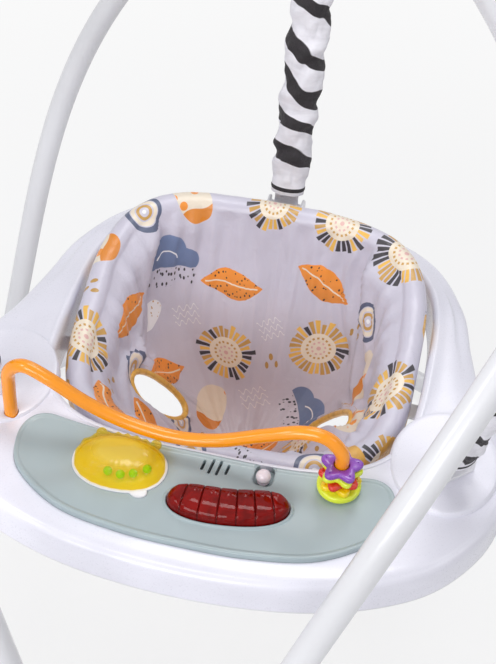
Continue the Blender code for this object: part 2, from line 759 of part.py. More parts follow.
def lens_marks(inset=0.0, grooves=True):
    """Stations along the lens: its rounded ends, and each groove between two segments."""
    end = LENS_LENGTH / 2 - inset
    pitch = LENS_LENGTH / LENS_SEGMENTS
    marks = [-end, -end + 0.0015, -end + 0.005]
    for k in range(1, LENS_SEGMENTS):
        middle = -LENS_LENGTH / 2 + pitch * k
        marks.extend([middle - 0.0024, middle, middle + 0.0024] if grooves else [middle])
    return marks + [end - 0.005, end - 0.0015, end]


def lens_outline(grow):
    """Lens outline on the panel, grown by a distance."""
    marks = lens_marks()
    upper, lower = [], []
    for k, along in enumerate(marks):
        place = along + grow * ((k == len(marks) - 1) - (k == 0))
        width = lens_half_width(along) + grow
        upper.append(lens_point(place, width))
        lower.append(lens_point(place, -width))
    return upper + lower[::-1]


def rattle_outline(grow, sides=36, knobs=True, tab=False, scale=1.0, wave=1.0):
    """Scalloped outline of the rattle dome, with its two round knobs or the base's tab."""
    points = []
    for k in range(sides):
        angle = 2 * pi * k / sides
        c, s = cos(angle), sin(angle)
        reach = (abs(c / RATTLE_HALF_WIDTH) ** 2.2 + abs(s / RATTLE_HALF_LENGTH) ** 2.2) ** (-1 / 2.2)
        reach -= RATTLE_LOBE_DEPTH * (0.5 - 0.5 * cos(angle * RATTLE_LOBES)) * wave
        bumps = [(a, RATTLE_KNOB_RISE * wave) for a in RATTLE_KNOB_ANGLES] if knobs else []
        if tab:
            bumps.append((RATTLE_TAB_ANGLE, RATTLE_TAB_RISE))
        for place, rise in bumps:
            away = (degrees_between(angle, place)) / 11.0
            reach += rise * max(0.0, 1 - away * away) ** 0.5
        reach = reach * scale + grow
        points.append((RATTLE_CENTRE[0] + reach * c, RATTLE_CENTRE[1] + reach * s))
    return points


def rattle_base_outline(grow):
    return rattle_outline(RATTLE_BASE_RIM + grow, knobs=False, tab=True, wave=0.0)


def degrees_between(angle, place):
    """Degrees from an angle in radians to a place in degrees."""
    return abs((angle * 180 / pi - place + 180) % 360 - 180)


def build_toy_panel(tray):
    outline = panel_outline()
    levels = ((0, PANEL_BOTTOM), (0, PANEL_TOP - 0.0003), (-0.0012, PANEL_TOP + PANEL_BEAD),
              (-0.0042, PANEL_TOP + PANEL_BEAD), (-0.0055, PANEL_TOP))
    rings = [[Vector((x, y, z)) for x, y in offset_outline(outline, grow)] for grow, z in levels]
    panel = add_object("toy_panel", loft("toy_panel", rings), tray)
    lip = LENS_LIP_WIDTH
    lip_levels = ((0, -0.002), (lip, -0.002), (lip, PANEL_TOP + LENS_LIP_HEIGHT * 0.5),
                  (lip * 0.6, PANEL_TOP + LENS_LIP_HEIGHT), (lip * 0.2, PANEL_TOP + LENS_LIP_HEIGHT))
    lip_rings = [[Vector((x, y, z)) for x, y in lens_outline(GAP + 0.0005 + grow)] for grow, z in lip_levels]
    join(panel, loft("lens_lip", lip_rings, loop=True))
    cut(panel, prism("lens_space", lens_outline(GAP + 0.0002), -CUT_REACH, CUT_REACH))
    recess = [(RECESS_CENTRE[0] + a, RECESS_CENTRE[1] + b)
              for a, b in superellipse(RECESS_HALF_WIDTH, RECESS_HALF_LENGTH, 4, 16)]
    cut(panel, prism("recess", recess, -CUT_REACH, CUT_REACH))
    cut(panel, prism("rattle_seat", rattle_base_outline(GAP), PANEL_TOP - RATTLE_SEAT_DEPTH, CUT_REACH))
    for x, length in zip(SLOT_X, SLOT_LENGTHS):
        way = Vector((sin(radians(SLOT_SLANT)), cos(radians(SLOT_SLANT)), 0))
        ends = [Vector((x, SLOT_Y, 0)) + way * length / 2 * side for side in (-1, 1)]
        across = Vector((way.y, -way.x, 0)) * SLOT_WIDTH / 2
        corners = [ends[0] - across, ends[0] + across, ends[1] + across, ends[1] - across]
        cut(panel, prism("slot", [(p.x, p.y) for p in corners], -CUT_REACH, CUT_REACH))
    cut(panel, bore_between((*BEAD_AXIS, -CUT_REACH), (*BEAD_AXIS, CUT_REACH), BEAD_TUBE_RADIUS + GAP))
    finish(panel, "grey_green_plastic")


def lens_body(name, inset, top, bottom, groove):
    """Domed bar along the lens's centre line, with a groove between its segments."""
    cross = 7
    end = LENS_LENGTH / 2 - inset
    pitch = LENS_LENGTH / LENS_SEGMENTS
    rings = []
    for along in lens_marks(inset, groove):
        share = min(abs(along) / end, 0.995)
        width = lens_half_width(along, inset)
        height = (top - 0.004) * (1 - share ** 4) ** 0.4
        nearest = round(along / pitch - 0.5) + 0.5 if LENS_SEGMENTS % 2 else round(along / pitch)
        in_groove = groove and abs(along - nearest * pitch) < 0.0002 and abs(along) < end - 0.01
        dip = LENS_GROOVE if in_groove else 0.0
        ring = [Vector((*lens_point(along, -width), bottom))]
        for k in range(cross):
            a = pi - pi * k / (cross - 1)
            rise = sin(a) ** 0.75
            ring.append(Vector((*lens_point(along, cos(a) * (width - dip * 0.5) * (1 if 0 < k < cross - 1 else 1)),
                                0.002 + max(height - dip, 0.001) * rise)))
        ring.append(Vector((*lens_point(along, width), bottom)))
        rings.append(ring)
    return loft(name, rings)


def build_lamp(tray):
    lens = add_object("lamp_lens", lens_body("lamp_lens", 0, LENS_HEIGHT, LENS_BOTTOM, True), tray)
    inner = lens_body("lamp_hollow", LENS_WALL + LENS_GROOVE, LENS_HEIGHT - LENS_WALL - LENS_GROOVE,
                      LENS_BOTTOM - 0.01, False)
    cut(lens, inner)
    finish(lens, "red_lens")
    top = LENS_BOTTOM - GAP
    width = LENS_HALF_WIDTH * 0.72
    half = LENS_LENGTH / 2 - 0.010
    corners = [lens_point(a, b) for a, b in ((-half, -width), (0, -width), (half, -width),
                                             (half, width), (0, width), (-half, width))]
    parts = [prism("board", corners, top - BOARD_THICKNESS, top)]
    board = add_object("lamp_board", parts[0], tray)
    for k in range(-1, 2):
        join(board, dome("diode", lens_point(k * DIODE_SPACING, 0), DIODE_RADIUS, top + DIODE_HEIGHT,
                         top - BOARD_THICKNESS * 0.5, sides=8, steps=2))
    finish(board, "board_green")


def build_rattle(tray):
    plate_low = PANEL_TOP - RATTLE_SEAT_DEPTH + GAP
    plate_top = plate_low + RATTLE_BASE_THICKNESS
    plate = prism("rattle_base", rattle_base_outline(0), plate_low, plate_top)
    finish(add_object("rattle_base", plate, tray), "white_plastic")
    low = plate_top + GAP
    profile = ((1.0, 0.0), (0.99, 0.30), (0.88, 0.68), (0.62, 0.93), (0.25, 1.0))
    outer, inner = [], []
    for scale, rise in profile:
        wave = blend(scale * 1.4 - 0.3)
        ring = rattle_outline(0, scale=scale, wave=wave)
        outer.append([Vector((x, y, low + RATTLE_HEIGHT * rise)) for x, y in ring])
        shrink = rattle_outline(-RATTLE_WALL * scale, scale=scale, wave=wave)
        inner.append([Vector((x, y, low + (RATTLE_HEIGHT - RATTLE_WALL) * rise)) for x, y in shrink])
    shell = shell_mesh("rattle_dome", outer, inner)
    finish(add_object("rattle_dome", shell, tray), "yellow_lens")
    r = RATTLE_BALL_RADIUS
    for number, (x, y) in enumerate(RATTLE_BALLS, 1):
        rings = []
        for k in range(1, 6):
            a = pi * k / 6 - pi / 2
            rings.append([Vector((x + p * cos(a), y + q * cos(a), low + r + r * sin(a))) for p, q in circle(r, 8)])
        finish(add_object(f"rattle_ball_{number}", loft("ball", rings), tray), "green_plastic")


def shell_mesh(name, outer, inner):
    """Open-bottomed shell from matching outer and inner rings, rim first."""
    count = len(outer[0])
    rings = list(reversed(outer)) + inner
    points = [p for ring in rings for p in ring]
    faces = [tuple(range(count)), tuple(range(len(points) - count, len(points)))]
    for k in range(len(rings) - 1):
        for i in range(count):
            j = (i + 1) % count
            faces.append((k * count + i, k * count + j, (k + 1) * count + j, (k + 1) * count + i))
    return mesh_from(name, points, faces)


def build_electronics(tray):
    x, y = RECESS_CENTRE
    sx, sy, sz = SWITCH_SIZE
    top = PANEL_BOTTOM - GAP
    body = add_object("switch_body", box("switch_body", (x, y, top - sz / 2), (sx, sy, sz)), tray)
    travel = knob_travel()
    cut(body, box("stem_slot", (x, y, top), (2 * (KNOB_STEM + RUNNING_GAP),
                                             travel + 2 * (KNOB_STEM + RUNNING_GAP), 0.010)))
    finish(body, "black_plastic")
    middle_x = sum(SLOT_X) / len(SLOT_X)
    radius = SPEAKER_RADIUS
    profile = ((radius, 0), (radius, -0.003), (radius * 0.86, -0.0045), (radius * 0.55, -0.009),
               (radius * 0.5, -0.010), (radius * 0.5, -SPEAKER_DEPTH))
    rings = [[Vector((middle_x + a, SLOT_Y + b, top + z)) for a, b in circle(r, 12)] for r, z in profile]
    finish(add_object("speaker", loft("speaker", rings), tray), "black_plastic")
    cx, cy = CIRCUIT_CENTRE
    w, d = CIRCUIT_SIZE
    board = add_object("circuit_board", box("circuit_board", (cx, cy, CIRCUIT_HEIGHT), (w, d, BOARD_THICKNESS)), tray)
    join(board, box("chip", (cx - 0.010, cy, CIRCUIT_HEIGHT + 0.0015), (0.014, 0.012, 0.003)))
    join(board, cylinder_between("capacitor", (cx + 0.015, cy, CIRCUIT_HEIGHT), (cx + 0.015, cy, CIRCUIT_HEIGHT + 0.010),
                                 0.004, 8))
    finish(board, "board_green")
    bx, by = BATTERY_CENTRE
    inner = (CELL_LENGTH + 0.006, CELL_PITCH * 3 + 0.001)
    floor = -TRAY_DEPTH
    height = CELL_RADIUS * 2 + 0.006
    tub = add_object("battery_box", box("battery_box", (bx, by, floor + height / 2),
                                        (inner[0] + 0.012, inner[1] + 0.012, height)), tray)
    cut(tub, box("cell_space", (bx, by, floor + height / 2 - BATTERY_WALL), (inner[0], inner[1], height)))
    finish(tub, "white_plastic")
    for k in (-1, 0, 1):
        ends = [(bx + CELL_LENGTH / 2 * side, by + k * CELL_PITCH, floor + 0.009) for side in (-1, 1)]
        cell = cylinder_between("cell", *ends, CELL_RADIUS, 12)
        finish(add_object(f"battery_cell_{k + 2}", cell, tray), "cell_jacket")
    centre, size = battery_hole()
    bottom = -TRAY_DEPTH - GAP - BASE_THICKNESS
    door = box("battery_door", (bx, by, bottom + DOOR_THICKNESS / 2), (size[0] - 2 * GAP, size[1] - 2 * GAP, DOOR_THICKNESS))
    finish(add_object("battery_door", door, tray), "white_plastic")


def knob_travel():
    """Room that the recess leaves the knob."""
    return 2 * (RECESS_HALF_LENGTH - KNOB_RADIUS - RUNNING_GAP)


def build_switch_knob(tray):
    """Ball knob with a stem in the switch, resting at the front end of its recess."""
    r = KNOB_RADIUS
    rings = []
    levels = [(KNOB_STEM, -0.0088), (KNOB_STEM, -0.0042), (r * 0.80, -0.0040)]
    for k in range(1, 8):
        a = pi * k / 8 - pi / 2
        if KNOB_HEIGHT + r * sin(a) > -0.0035:
            levels.append((r * cos(a), KNOB_HEIGHT + r * sin(a)))
    levels.append((r * 0.12, KNOB_HEIGHT + r * 0.995))
    for radius, z in levels:
        rings.append([Vector((a, b, z)) for a, b in circle(radius, 14)])
    x, y = RECESS_CENTRE
    place = (x, y - knob_travel() / 2, 0)
    finish(add_object("switch_knob", loft("switch_knob", rings), tray, place), "pink_plastic")


def build_bead_tube(tray):
    path = smooth_open(BEAD_TUBE_ROUTE, 2)
    tube = sweep("bead_tube", path, circle(BEAD_TUBE_RADIUS, 8))
    finish(add_object("bead_tube", tube, tray), "orange_plastic")


def bead_mesh(name, reach, height):
    """Flat bead with rounded edges round the tube; reach gives its radius at an angle."""
    stations = 25 if height == STAR_HEIGHT else 20
    hole = (BEAD_TUBE_RADIUS + RUNNING_GAP) / cos(pi / stations)
    rings = []
    for k in range(stations):
        angle = 2 * pi * k / stations
        outer = reach(angle)
        section = ((hole, 0), (outer - 0.001, 0), (outer, height * 0.5), (outer - 0.0015, height), (hole, height))
        rings.append([Vector((r * cos(angle), r * sin(angle), z)) for r, z in section])
    return loft(name, rings, loop=True)


def bead_levels():
    """Underside of each bead above the panel, from the lowest up."""
    z = PANEL_TOP + PANEL_BEAD + GAP
    levels = {"ring_bead": z}
    z += RING_BEAD_HEIGHT + GAP
    for name in ("star_yellow", "star_red", "star_lime", "star_purple"):
        levels[name] = z
        z += STAR_HEIGHT + GAP
    return levels


def build_beads(tray):
    turns = {"star_yellow": 8.0, "star_red": 40.0, "star_lime": 12.0, "star_purple": 20.0}
    slots = {"star_yellow": "yellow_plastic", "star_red": "red_plastic", "star_lime": "lime_plastic",
             "star_purple": "purple_plastic"}
    for name, level in bead_levels().items():
        if name == "ring_bead":
            data = bead_mesh(name, lambda a: RING_BEAD_RADIUS, RING_BEAD_HEIGHT)
            slot = "lime_plastic"
        else:
            turn = radians(turns[name])
            data = bead_mesh(name, lambda a: STAR_RADIUS + STAR_POINT * cos(5 * (a - turn)), STAR_HEIGHT)
            slot = slots[name]
        finish(add_object(name, data, tray, (*BEAD_AXIS, level)), slot)


# Seat

def ring_height(y):
    """Height of the seat ring's centre line: low at the front, raised behind the back."""
    return RING_FRONT_Z + (RING_REAR_Z - RING_FRONT_Z) * blend((y - RISE_FROM_Y) / (RISE_TO_Y - RISE_FROM_Y))


def ring_outline(count):
    """Seat ring's centre line and outward direction; station 0 is at the rear, then counter-clockwise."""
    shape = []
    n = RING_SQUARENESS
    for k in range(count):
        angle = pi / 2 + 2 * pi * k / count
        c, s = cos(angle), sin(angle)
        a, b = RING_HALF_WIDTH, RING_HALF_LENGTH
        reach = (abs(c / a) ** n + abs(s / b) ** n) ** (-1 / n)
        x, y = reach * c, reach * s
        grad = Vector((abs(x / a) ** (n - 1) / a * (1 if x > 0 else -1),
                       abs(y / b) ** (n - 1) / b * (1 if y > 0 else -1), 0)).normalized()
        y += SEAT_CENTRE_Y
        shape.append((Vector((x, y, ring_height(y))), grad))
    return shape


def build_seat_ring(tray):
    """Ring with moulded tabs that hook under the tray's underside."""
    path = [centre for centre, way in ring_outline(40)]
    ring = add_object("seat_ring", sweep("seat_ring", path, circle(RING_RADIUS, 6), closed=True, side=UP), tray)
    floor = -TRAY_DEPTH - GAP - BASE_THICKNESS - GAP
    stations = ring_outline(360)
    half = TAB_THICKNESS / 2
    for angle in TAB_ANGLES:
        centre, way = stations[angle]
        tangent = UP.cross(way)
        reach = TAB_FOOT + OPENING_HALF_WIDTH - RING_HALF_WIDTH
        profile = ((-half, centre.z), (-half, floor - TAB_THICKNESS), (reach, floor - TAB_THICKNESS),
                   (reach, floor), (half, floor), (half, centre.z))
        base = Vector((centre.x, centre.y, 0))
        rings = [[base + way * a + UP * b + tangent * TAB_HALF_WIDTH * side for a, b in profile]
                 for side in (-1, 1)]
        join(ring, loft("tab", rings))
    finish(ring, "white_plastic")


def bucket_power(direction_y):
    """How late the bucket's wall turns into its bottom: steep behind the child, sloping in front."""
    return 2.1 + 0.92 * direction_y


def bucket_height(share, rim_z, direction_y):
    """Height of the bucket at a share of the way from its bottom to the rim."""
    return rim_z * share ** 2 - BUCKET_DEPTH * (1 - share ** bucket_power(direction_y))


def bucket_rim(count):
    """Top edge of the bucket's inner wall, just inside the ring."""
    rim = []
    for centre, way in ring_outline(count):
        rim.append((centre - way * ROLL_RADIUS, (centre.y - SEAT_CENTRE_Y), centre.z))
    return rim


def bucket_point(x, y):
    """Point of the bucket's middle surface over a place in plan."""
    rim = [(edge.x, edge.y - SEAT_CENTRE_Y) for edge, reach, z in bucket_rim(96)]
    angle = atan2(y - SEAT_CENTRE_Y, x)
    edge = polar_reach(rim, angle)
    share = hypot(x, y - SEAT_CENTRE_Y) / edge
    rim_z = ring_height(edge * sin(angle) + SEAT_CENTRE_Y)
    return Vector((x, y, bucket_height(share, rim_z, sin(angle))))


def leg_hole_outline(side, inset, sides):
    """Leg hole in plan; side is -1 for the left."""
    a, b = LEG_HOLE_SIZE
    turn = radians(LEG_HOLE_TURN)
    points = []
    for k in range(sides):
        p, q = (a - inset) * cos(2 * pi * k / sides), (b - inset) * sin(2 * pi * k / sides)
        points.append((side * (LEG_HOLE[0] - (p * cos(turn) - q * sin(turn))),
                       LEG_HOLE[1] + p * sin(turn) + q * cos(turn)))
    return points


def build_seat_fabric(tray):
    """Padded bucket rolled over the seat ring, with a short outer skirt and two leg holes."""
    stations = ring_outline(BUCKET_STATIONS)
    rings = []
    levels = (0.96, 0.88, 0.77, 0.64, 0.50, 0.34, 0.16)
    for centre, way in stations:
        bottom = max(centre.z - SKIRT_LENGTH, SKIRT_LOWEST)
        ring = [Vector((*(centre + way * ROLL_RADIUS).xy, bottom))]
        for k in range(5):
            a = pi * k / 4
            ring.append(centre + way * ROLL_RADIUS * cos(a) + UP * ROLL_RADIUS * sin(a))
        edge = centre - way * ROLL_RADIUS
        pivot = Vector((0, SEAT_CENTRE_Y, 0))
        flat = Vector((edge.x, edge.y, 0)) - pivot
        toward = flat.normalized().y
        for share in levels:
            ring.append(pivot + flat * share + UP * bucket_height(share, centre.z, toward))
        rings.append(ring)
    count = len(rings[0])
    points = [p for ring in rings for p in ring]
    faces = []
    for k in range(len(rings)):
        low, high = k * count, (k + 1) % len(rings) * count
        faces.extend((low + i, low + i + 1, high + i + 1, high + i) for i in range(count - 1))
    faces.append(tuple(k * count + count - 1 for k in range(len(rings))))
    data = mesh_from("seat_fabric", points, faces)
    seat = add_object("seat_fabric", data, tray)
    skin = seat.modifiers.new("padding", "SOLIDIFY")
    skin.thickness = FABRIC_THICKNESS
    skin.offset = 0
    skin.use_even_offset = True
    for side in (-1, 1):
        cut(seat, prism("leg_hole", leg_hole_outline(side, 0, 22), -BUCKET_DEPTH - 0.03, -0.008))
    finish(seat, "lavender_fabric")


def build_leg_bindings(tray):
    for name, side in (("leg_binding_left", -1), ("leg_binding_right", 1)):
        inset = BINDING_RADIUS + 0.0025
        path = [bucket_point(x, y) for x, y in leg_hole_outline(side, inset, 22)]
        data = sweep(name, path, circle(BINDING_RADIUS, 6), closed=True, side=UP)
        finish(add_object(name, data, tray), "gold_satin")


# Straps

def strap_frame(label):
    """Anchor bar's middle, the strap's direction, its length to the hanger pin, its flat's two directions."""
    bar = anchor_places()[label] + TRAY_ORIGIN + UP * BAR_HEIGHT
    pin = hub_place(HUBS[label]) - UP * HANGER_DROP
    way = (pin - bar).normalized()
    tangent = UP.cross(Vector((way.x, way.y, 0)).normalized())
    return bar, way, (pin - bar).length, tangent, tangent.cross(way)


def build_anchor(label):
    """U-shaped bracket on its pad with a bar for the strap's loop."""
    bar, way, length, tangent, facing = strap_frame(label)
    level = Vector((way.x, way.y, 0)).normalized()
    low = -BAR_HEIGHT + GAP
    w, t = ANCHOR_HALF_WIDTH, ANCHOR_CHEEK
    profile = ((-w, low), (w, low), (w, 0.004), (w - 0.001, 0.0055), (w - t, 0.0055), (w - t, low + t),
               (-w + t, low + t), (-w + t, 0.0055), (-w + 0.001, 0.0055), (-w, 0.004))
    rings = [[bar + tangent * a + UP * b + level * ANCHOR_HALF_DEPTH * side for a, b in profile] for side in (-1, 1)]
    name = f"strap_anchor_{label}"
    anchor = add_object(name, loft(name, rings))
    reach = ANCHOR_HALF_WIDTH - ANCHOR_CHEEK / 2
    join(anchor, cylinder_between("bar", bar - tangent * reach, bar + tangent * reach, BAR_RADIUS, 10))
    finish(anchor, "white_plastic")


def build_strap(label):
    """Flat strap with a loop round the anchor bar and an eye for the spring."""
    bar, way, length, tangent, facing = strap_frame(label)
    outer = BAR_RADIUS + 2 * GAP + 2 * STRAP_HALF_THICKNESS
    t = STRAP_HALF_THICKNESS
    lean = atan2(t, sqrt(outer * outer - t * t))
    steps = 10
    profile = []
    for k in range(steps + 1):
        a = pi / 2 + lean + (2 * pi - 2 * lean) * k / steps
        profile.append((outer * cos(a), outer * sin(a)))
    profile += [(t, STRAP_LENGTH), (-t, STRAP_LENGTH)]
    rings = [[bar + facing * a + way * b + tangent * STRAP_HALF_WIDTH * side for a, b in profile] for side in (-1, 1)]
    name = f"strap_{label}"
    strap = add_object(name, loft(name, rings))
    wide = STRAP_HALF_WIDTH + 0.01
    cut(strap, bore_between(bar - tangent * wide, bar + tangent * wide, BAR_RADIUS + GAP, 10))
    eye = bar + way * (STRAP_LENGTH - 0.008)
    cut(strap, cylinder_between("eye", eye - facing * 0.01, eye + facing * 0.01, STRAP_EYE_RADIUS, 10))
    finish(strap, "white_webbing")


def spring_path(label):
    """Hook, coil and hook as one wire from the strap's eye to the hanger pin."""
    bar, way, length, tangent, facing = strap_frame(label)
    eye_top = STRAP_LENGTH - 0.008 + STRAP_EYE_RADIUS
    low = eye_top - WIRE_RADIUS - HOOK_PLAY + HOOK_RADIUS
    high = length + PIN_RADIUS + WIRE_RADIUS + HOOK_PLAY - HOOK_RADIUS
    hook_steps = 8
    lower, upper = [], []
    for k in range(hook_steps + 1):
        a = radians(140 + 310 * k / hook_steps)
        lower.append(facing * HOOK_RADIUS * cos(a) + way * (low + HOOK_RADIUS * sin(a)))
        upper.append(tangent * HOOK_RADIUS * cos(a) + way * (high - HOOK_RADIUS * sin(a)))
    first, last = low + HOOK_RADIUS + 0.006, high - HOOK_RADIUS - 0.006
    coil = []
    total = COIL_CURLS * 8
    for k in range(total + 1):
        a = 2 * pi * k / 8
        grow = min(1.0, (k + 1) / 4, (total - k + 1) / 4)
        s = first + (last - first) * k / total
        coil.append(facing * COIL_RADIUS * grow * cos(a) + tangent * COIL_RADIUS * grow * sin(a) + way * s)
    return [bar + p for p in lower + coil + upper[::-1]]


def least_gap(path, radius, skip):
    """Smallest clear distance between stretches of one wire."""
    best = 1.0
    for i, p in enumerate(path):
        for q in path[i + skip:]:
            best = min(best, (p - q).length - 2 * radius)
    return best


def build_spring(label):
    path = spring_path(label)
    name = f"spring_{label}"
    spring = sweep(name, path, circle(WIRE_RADIUS, 4))
    print(name, "least gap between curls, mm", round(least_gap(path, WIRE_RADIUS, 6) * 1000, 2))
    finish(add_object(name, spring), "spring_steel")


def build_sleeve(label):
    """Gathered fabric tube round spring and strap, drawn in to a cuff below."""
    bar, way, length, tangent, facing = strap_frame(label)
    end = length - HUB_HALF_HEIGHT + HANGER_DROP - 0.004
    steps = SLEEVE_GATHERS * 2
    outer, inner = [], []
    for k in range(steps + 1):
        s = SLEEVE_START + (end - SLEEVE_START) * k / steps
        puff = -SLEEVE_GATHER_DEPTH * (1 if k % 2 == 0 else 0)
        ends = SLEEVE_CUFF + (1 - SLEEVE_CUFF) * blend(k / 2.5)
        half_w = SLEEVE_HALF_WIDTH * ends + puff
        half_d = SLEEVE_HALF_DEPTH * (ends * 1.3 - 0.3) + puff
        outer.append([bar + way * s + tangent * a + facing * b for a, b in superellipse(half_w, half_d, 2, 12)])
        if k in (0, 2, steps - 2, steps):
            walls = SLEEVE_WALL
            inner.append([bar + way * s + tangent * a + facing * b
                          for a, b in superellipse(half_w - walls, half_d - walls, 2, 12)])
    name = f"sleeve_{label}"
    sleeve = loft(name, outer + inner[::-1], loop=True)
    finish(add_object(name, sleeve), "striped_fabric")


def clear_scene():
    for obj in list(bpy.data.objects):
        bpy.data.objects.remove(obj, do_unlink=True)


def main():
    clear_scene()
    build_leg_tubes()
    build_floor_tubes()
    build_feet()
    build_hubs()
    tray = bpy.data.objects.new("tray_origin", None)
    bpy.context.collection.objects.link(tray)
    tray.location = TRAY_ORIGIN
    build_tray_deck(tray)
    build_tray_base(tray)
    build_toy_panel(tray)
    build_lamp(tray)
    build_rattle(tray)
    build_electronics(tray)
    build_switch_knob(tray)
    build_bead_tube(tray)
    build_beads(tray)
    build_seat_ring(tray)
    build_seat_fabric(tray)
    build_leg_bindings(tray)
    for label in HUBS:
        build_anchor(label)
        build_strap(label)
        build_spring(label)
        build_sleeve(label)


main()
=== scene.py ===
import json
from math import atan2, cos, hypot, pi, radians, sin, sqrt, tan
from random import Random

import bmesh
import bpy
import numpy as np
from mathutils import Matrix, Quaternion, Vector, noise


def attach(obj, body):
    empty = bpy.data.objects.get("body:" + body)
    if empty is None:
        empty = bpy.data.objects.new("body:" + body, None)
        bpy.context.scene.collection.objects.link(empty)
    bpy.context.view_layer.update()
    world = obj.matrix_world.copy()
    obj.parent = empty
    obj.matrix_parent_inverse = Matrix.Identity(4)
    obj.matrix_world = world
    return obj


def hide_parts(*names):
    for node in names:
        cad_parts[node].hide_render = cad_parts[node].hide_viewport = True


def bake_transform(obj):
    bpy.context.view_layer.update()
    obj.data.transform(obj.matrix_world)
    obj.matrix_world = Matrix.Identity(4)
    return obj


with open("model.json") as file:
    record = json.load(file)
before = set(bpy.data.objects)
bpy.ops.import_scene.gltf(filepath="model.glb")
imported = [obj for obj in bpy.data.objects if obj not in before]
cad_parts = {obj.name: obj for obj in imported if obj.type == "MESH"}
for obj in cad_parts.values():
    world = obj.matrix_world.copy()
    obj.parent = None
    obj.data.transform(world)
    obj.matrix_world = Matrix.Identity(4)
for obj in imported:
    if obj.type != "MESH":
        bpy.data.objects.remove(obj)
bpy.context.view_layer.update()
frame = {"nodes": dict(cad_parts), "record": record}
print("frame loaded:", len(frame["nodes"]), "CAD nodes")

# The tray's own middle is the middle of its opening, at deck level
standY = 0.00925
trayOrigin = Vector((0, standY + 0.030, 0.430))
up = Vector((0, 0, 1))
gap = 0.0003

# Sizes in metres, angles in degrees; the finishes follow these pieces
lens = {"centre": (0.031, -0.2135), "turn": 8.0, "length": 0.112, "halfWidth": 0.0185, "bend": 0.190,
        "height": 0.0178, "segments": 7, "groove": 0.0012, "grooveWidth": 0.0007, "wall": 0.0022,
        "bottom": -0.0060, "lipWidth": 0.0026, "lipHeight": 0.0022, "stud": 0.5, "studAcross": 0.0078,
        "studSize": 0.0029}
rattle = {"centre": (-0.076, -0.1925), "halfWidth": 0.0425, "halfLength": 0.030, "height": 0.019,
          "wall": 0.0018, "rays": 20, "lobeDepth": 0.0024, "ears": (42.0, 133.0), "earBall": 0.0052,
          "baseThickness": 0.002, "baseRim": 0.0020, "seatDepth": 0.0006, "tabAngle": -48.0,
          "tabRise": 0.0065, "tabWidth": 11.0, "squareness": 2.2, "ball": 0.0042,
          "balls": ((-0.049, -0.196), (-0.060, -0.204), (-0.071, -0.208), (-0.083, -0.207))}
sleeveCloth = {"start": 0.016, "wall": 0.0012, "halfWidth": 0.0205, "halfDepth": 0.0165, "gathers": 7,
               "gatherDepth": 0.0034, "cuff": 0.86, "cuffLength": 0.0118, "piping": 0.0062, "girth": 0.117,
               "fullness": 1.25}

# Colours as they look, 0 to 255
shades = {"whiteCoat": (228, 228, 232), "paleShell": (235, 234, 245), "whiteShell": (234, 233, 237),
          "greyGreen": (170, 185, 189), "greyGreenDeep": (128, 142, 147), "orange": (255, 156, 10),
          "lensRed": (146, 12, 8), "domeYellow": (255, 208, 8), "domeCream": (255, 226, 104),
          "ballGreen": (96, 255, 10), "purple": (140, 72, 186), "lime": (234, 248, 56), "red": (226, 50, 22),
          "yellow": (255, 222, 6), "knobWhite": (248, 236, 244), "lavender": (211, 207, 222),
          "lavenderDeep": (186, 180, 200), "gold": (232, 176, 78), "goldDeep": (188, 132, 50),
          "ink": (36, 30, 36), "cream": (244, 230, 209), "mustard": (204, 156, 70), "sunGold": (243, 190, 80),
          "slate": (112, 132, 172), "slateDeep": (82, 92, 120), "blush": (228, 180, 174),
          "spotOrange": (245, 147, 34), "white": (250, 249, 251), "sleeveWhite": (238, 236, 243),
          "webbing": (228, 227, 234), "steel": (168, 170, 176), "blackPlastic": (44, 44, 48),
          "boardGreen": (28, 96, 60), "copper": (190, 130, 70), "cellBlue": (52, 62, 84),
          "cellGold": (196, 164, 92), }


def linear(value):
    value /= 255
    return value / 12.92 if value <= 0.04045 else ((value + 0.055) / 1.055) ** 2.4


def tone(name, scale=1.0):
    return (*(linear(v) * scale for v in shades[name]), 1.0)


# Shader maths: a wrapped socket, and a material that makes nodes

class Wire:
    def __init__(self, paint, socket):
        self.paint = paint
        self.socket = socket

    def __add__(self, other):
        return self.paint.maths("ADD", self, other)

    def __sub__(self, other):
        return self.paint.maths("SUBTRACT", self, other)

    def __rsub__(self, other):
        return self.paint.maths("SUBTRACT", other, self)

    def __mul__(self, other):
        return self.paint.maths("MULTIPLY", self, other)

    def __truediv__(self, other):
        return self.paint.maths("DIVIDE", self, other)

    def __pow__(self, other):
        return self.paint.maths("POWER", self, other)

    def __gt__(self, other):
        return self.paint.maths("GREATER_THAN", self, other)

    def __and__(self, other):
        return self.paint.maths("MINIMUM", self, other)

    def __or__(self, other):
        return self.paint.maths("MAXIMUM", self, other)

    def __abs__(self):
        return self.paint.maths("ABSOLUTE", self)

    __radd__ = __add__
    __rmul__ = __mul__


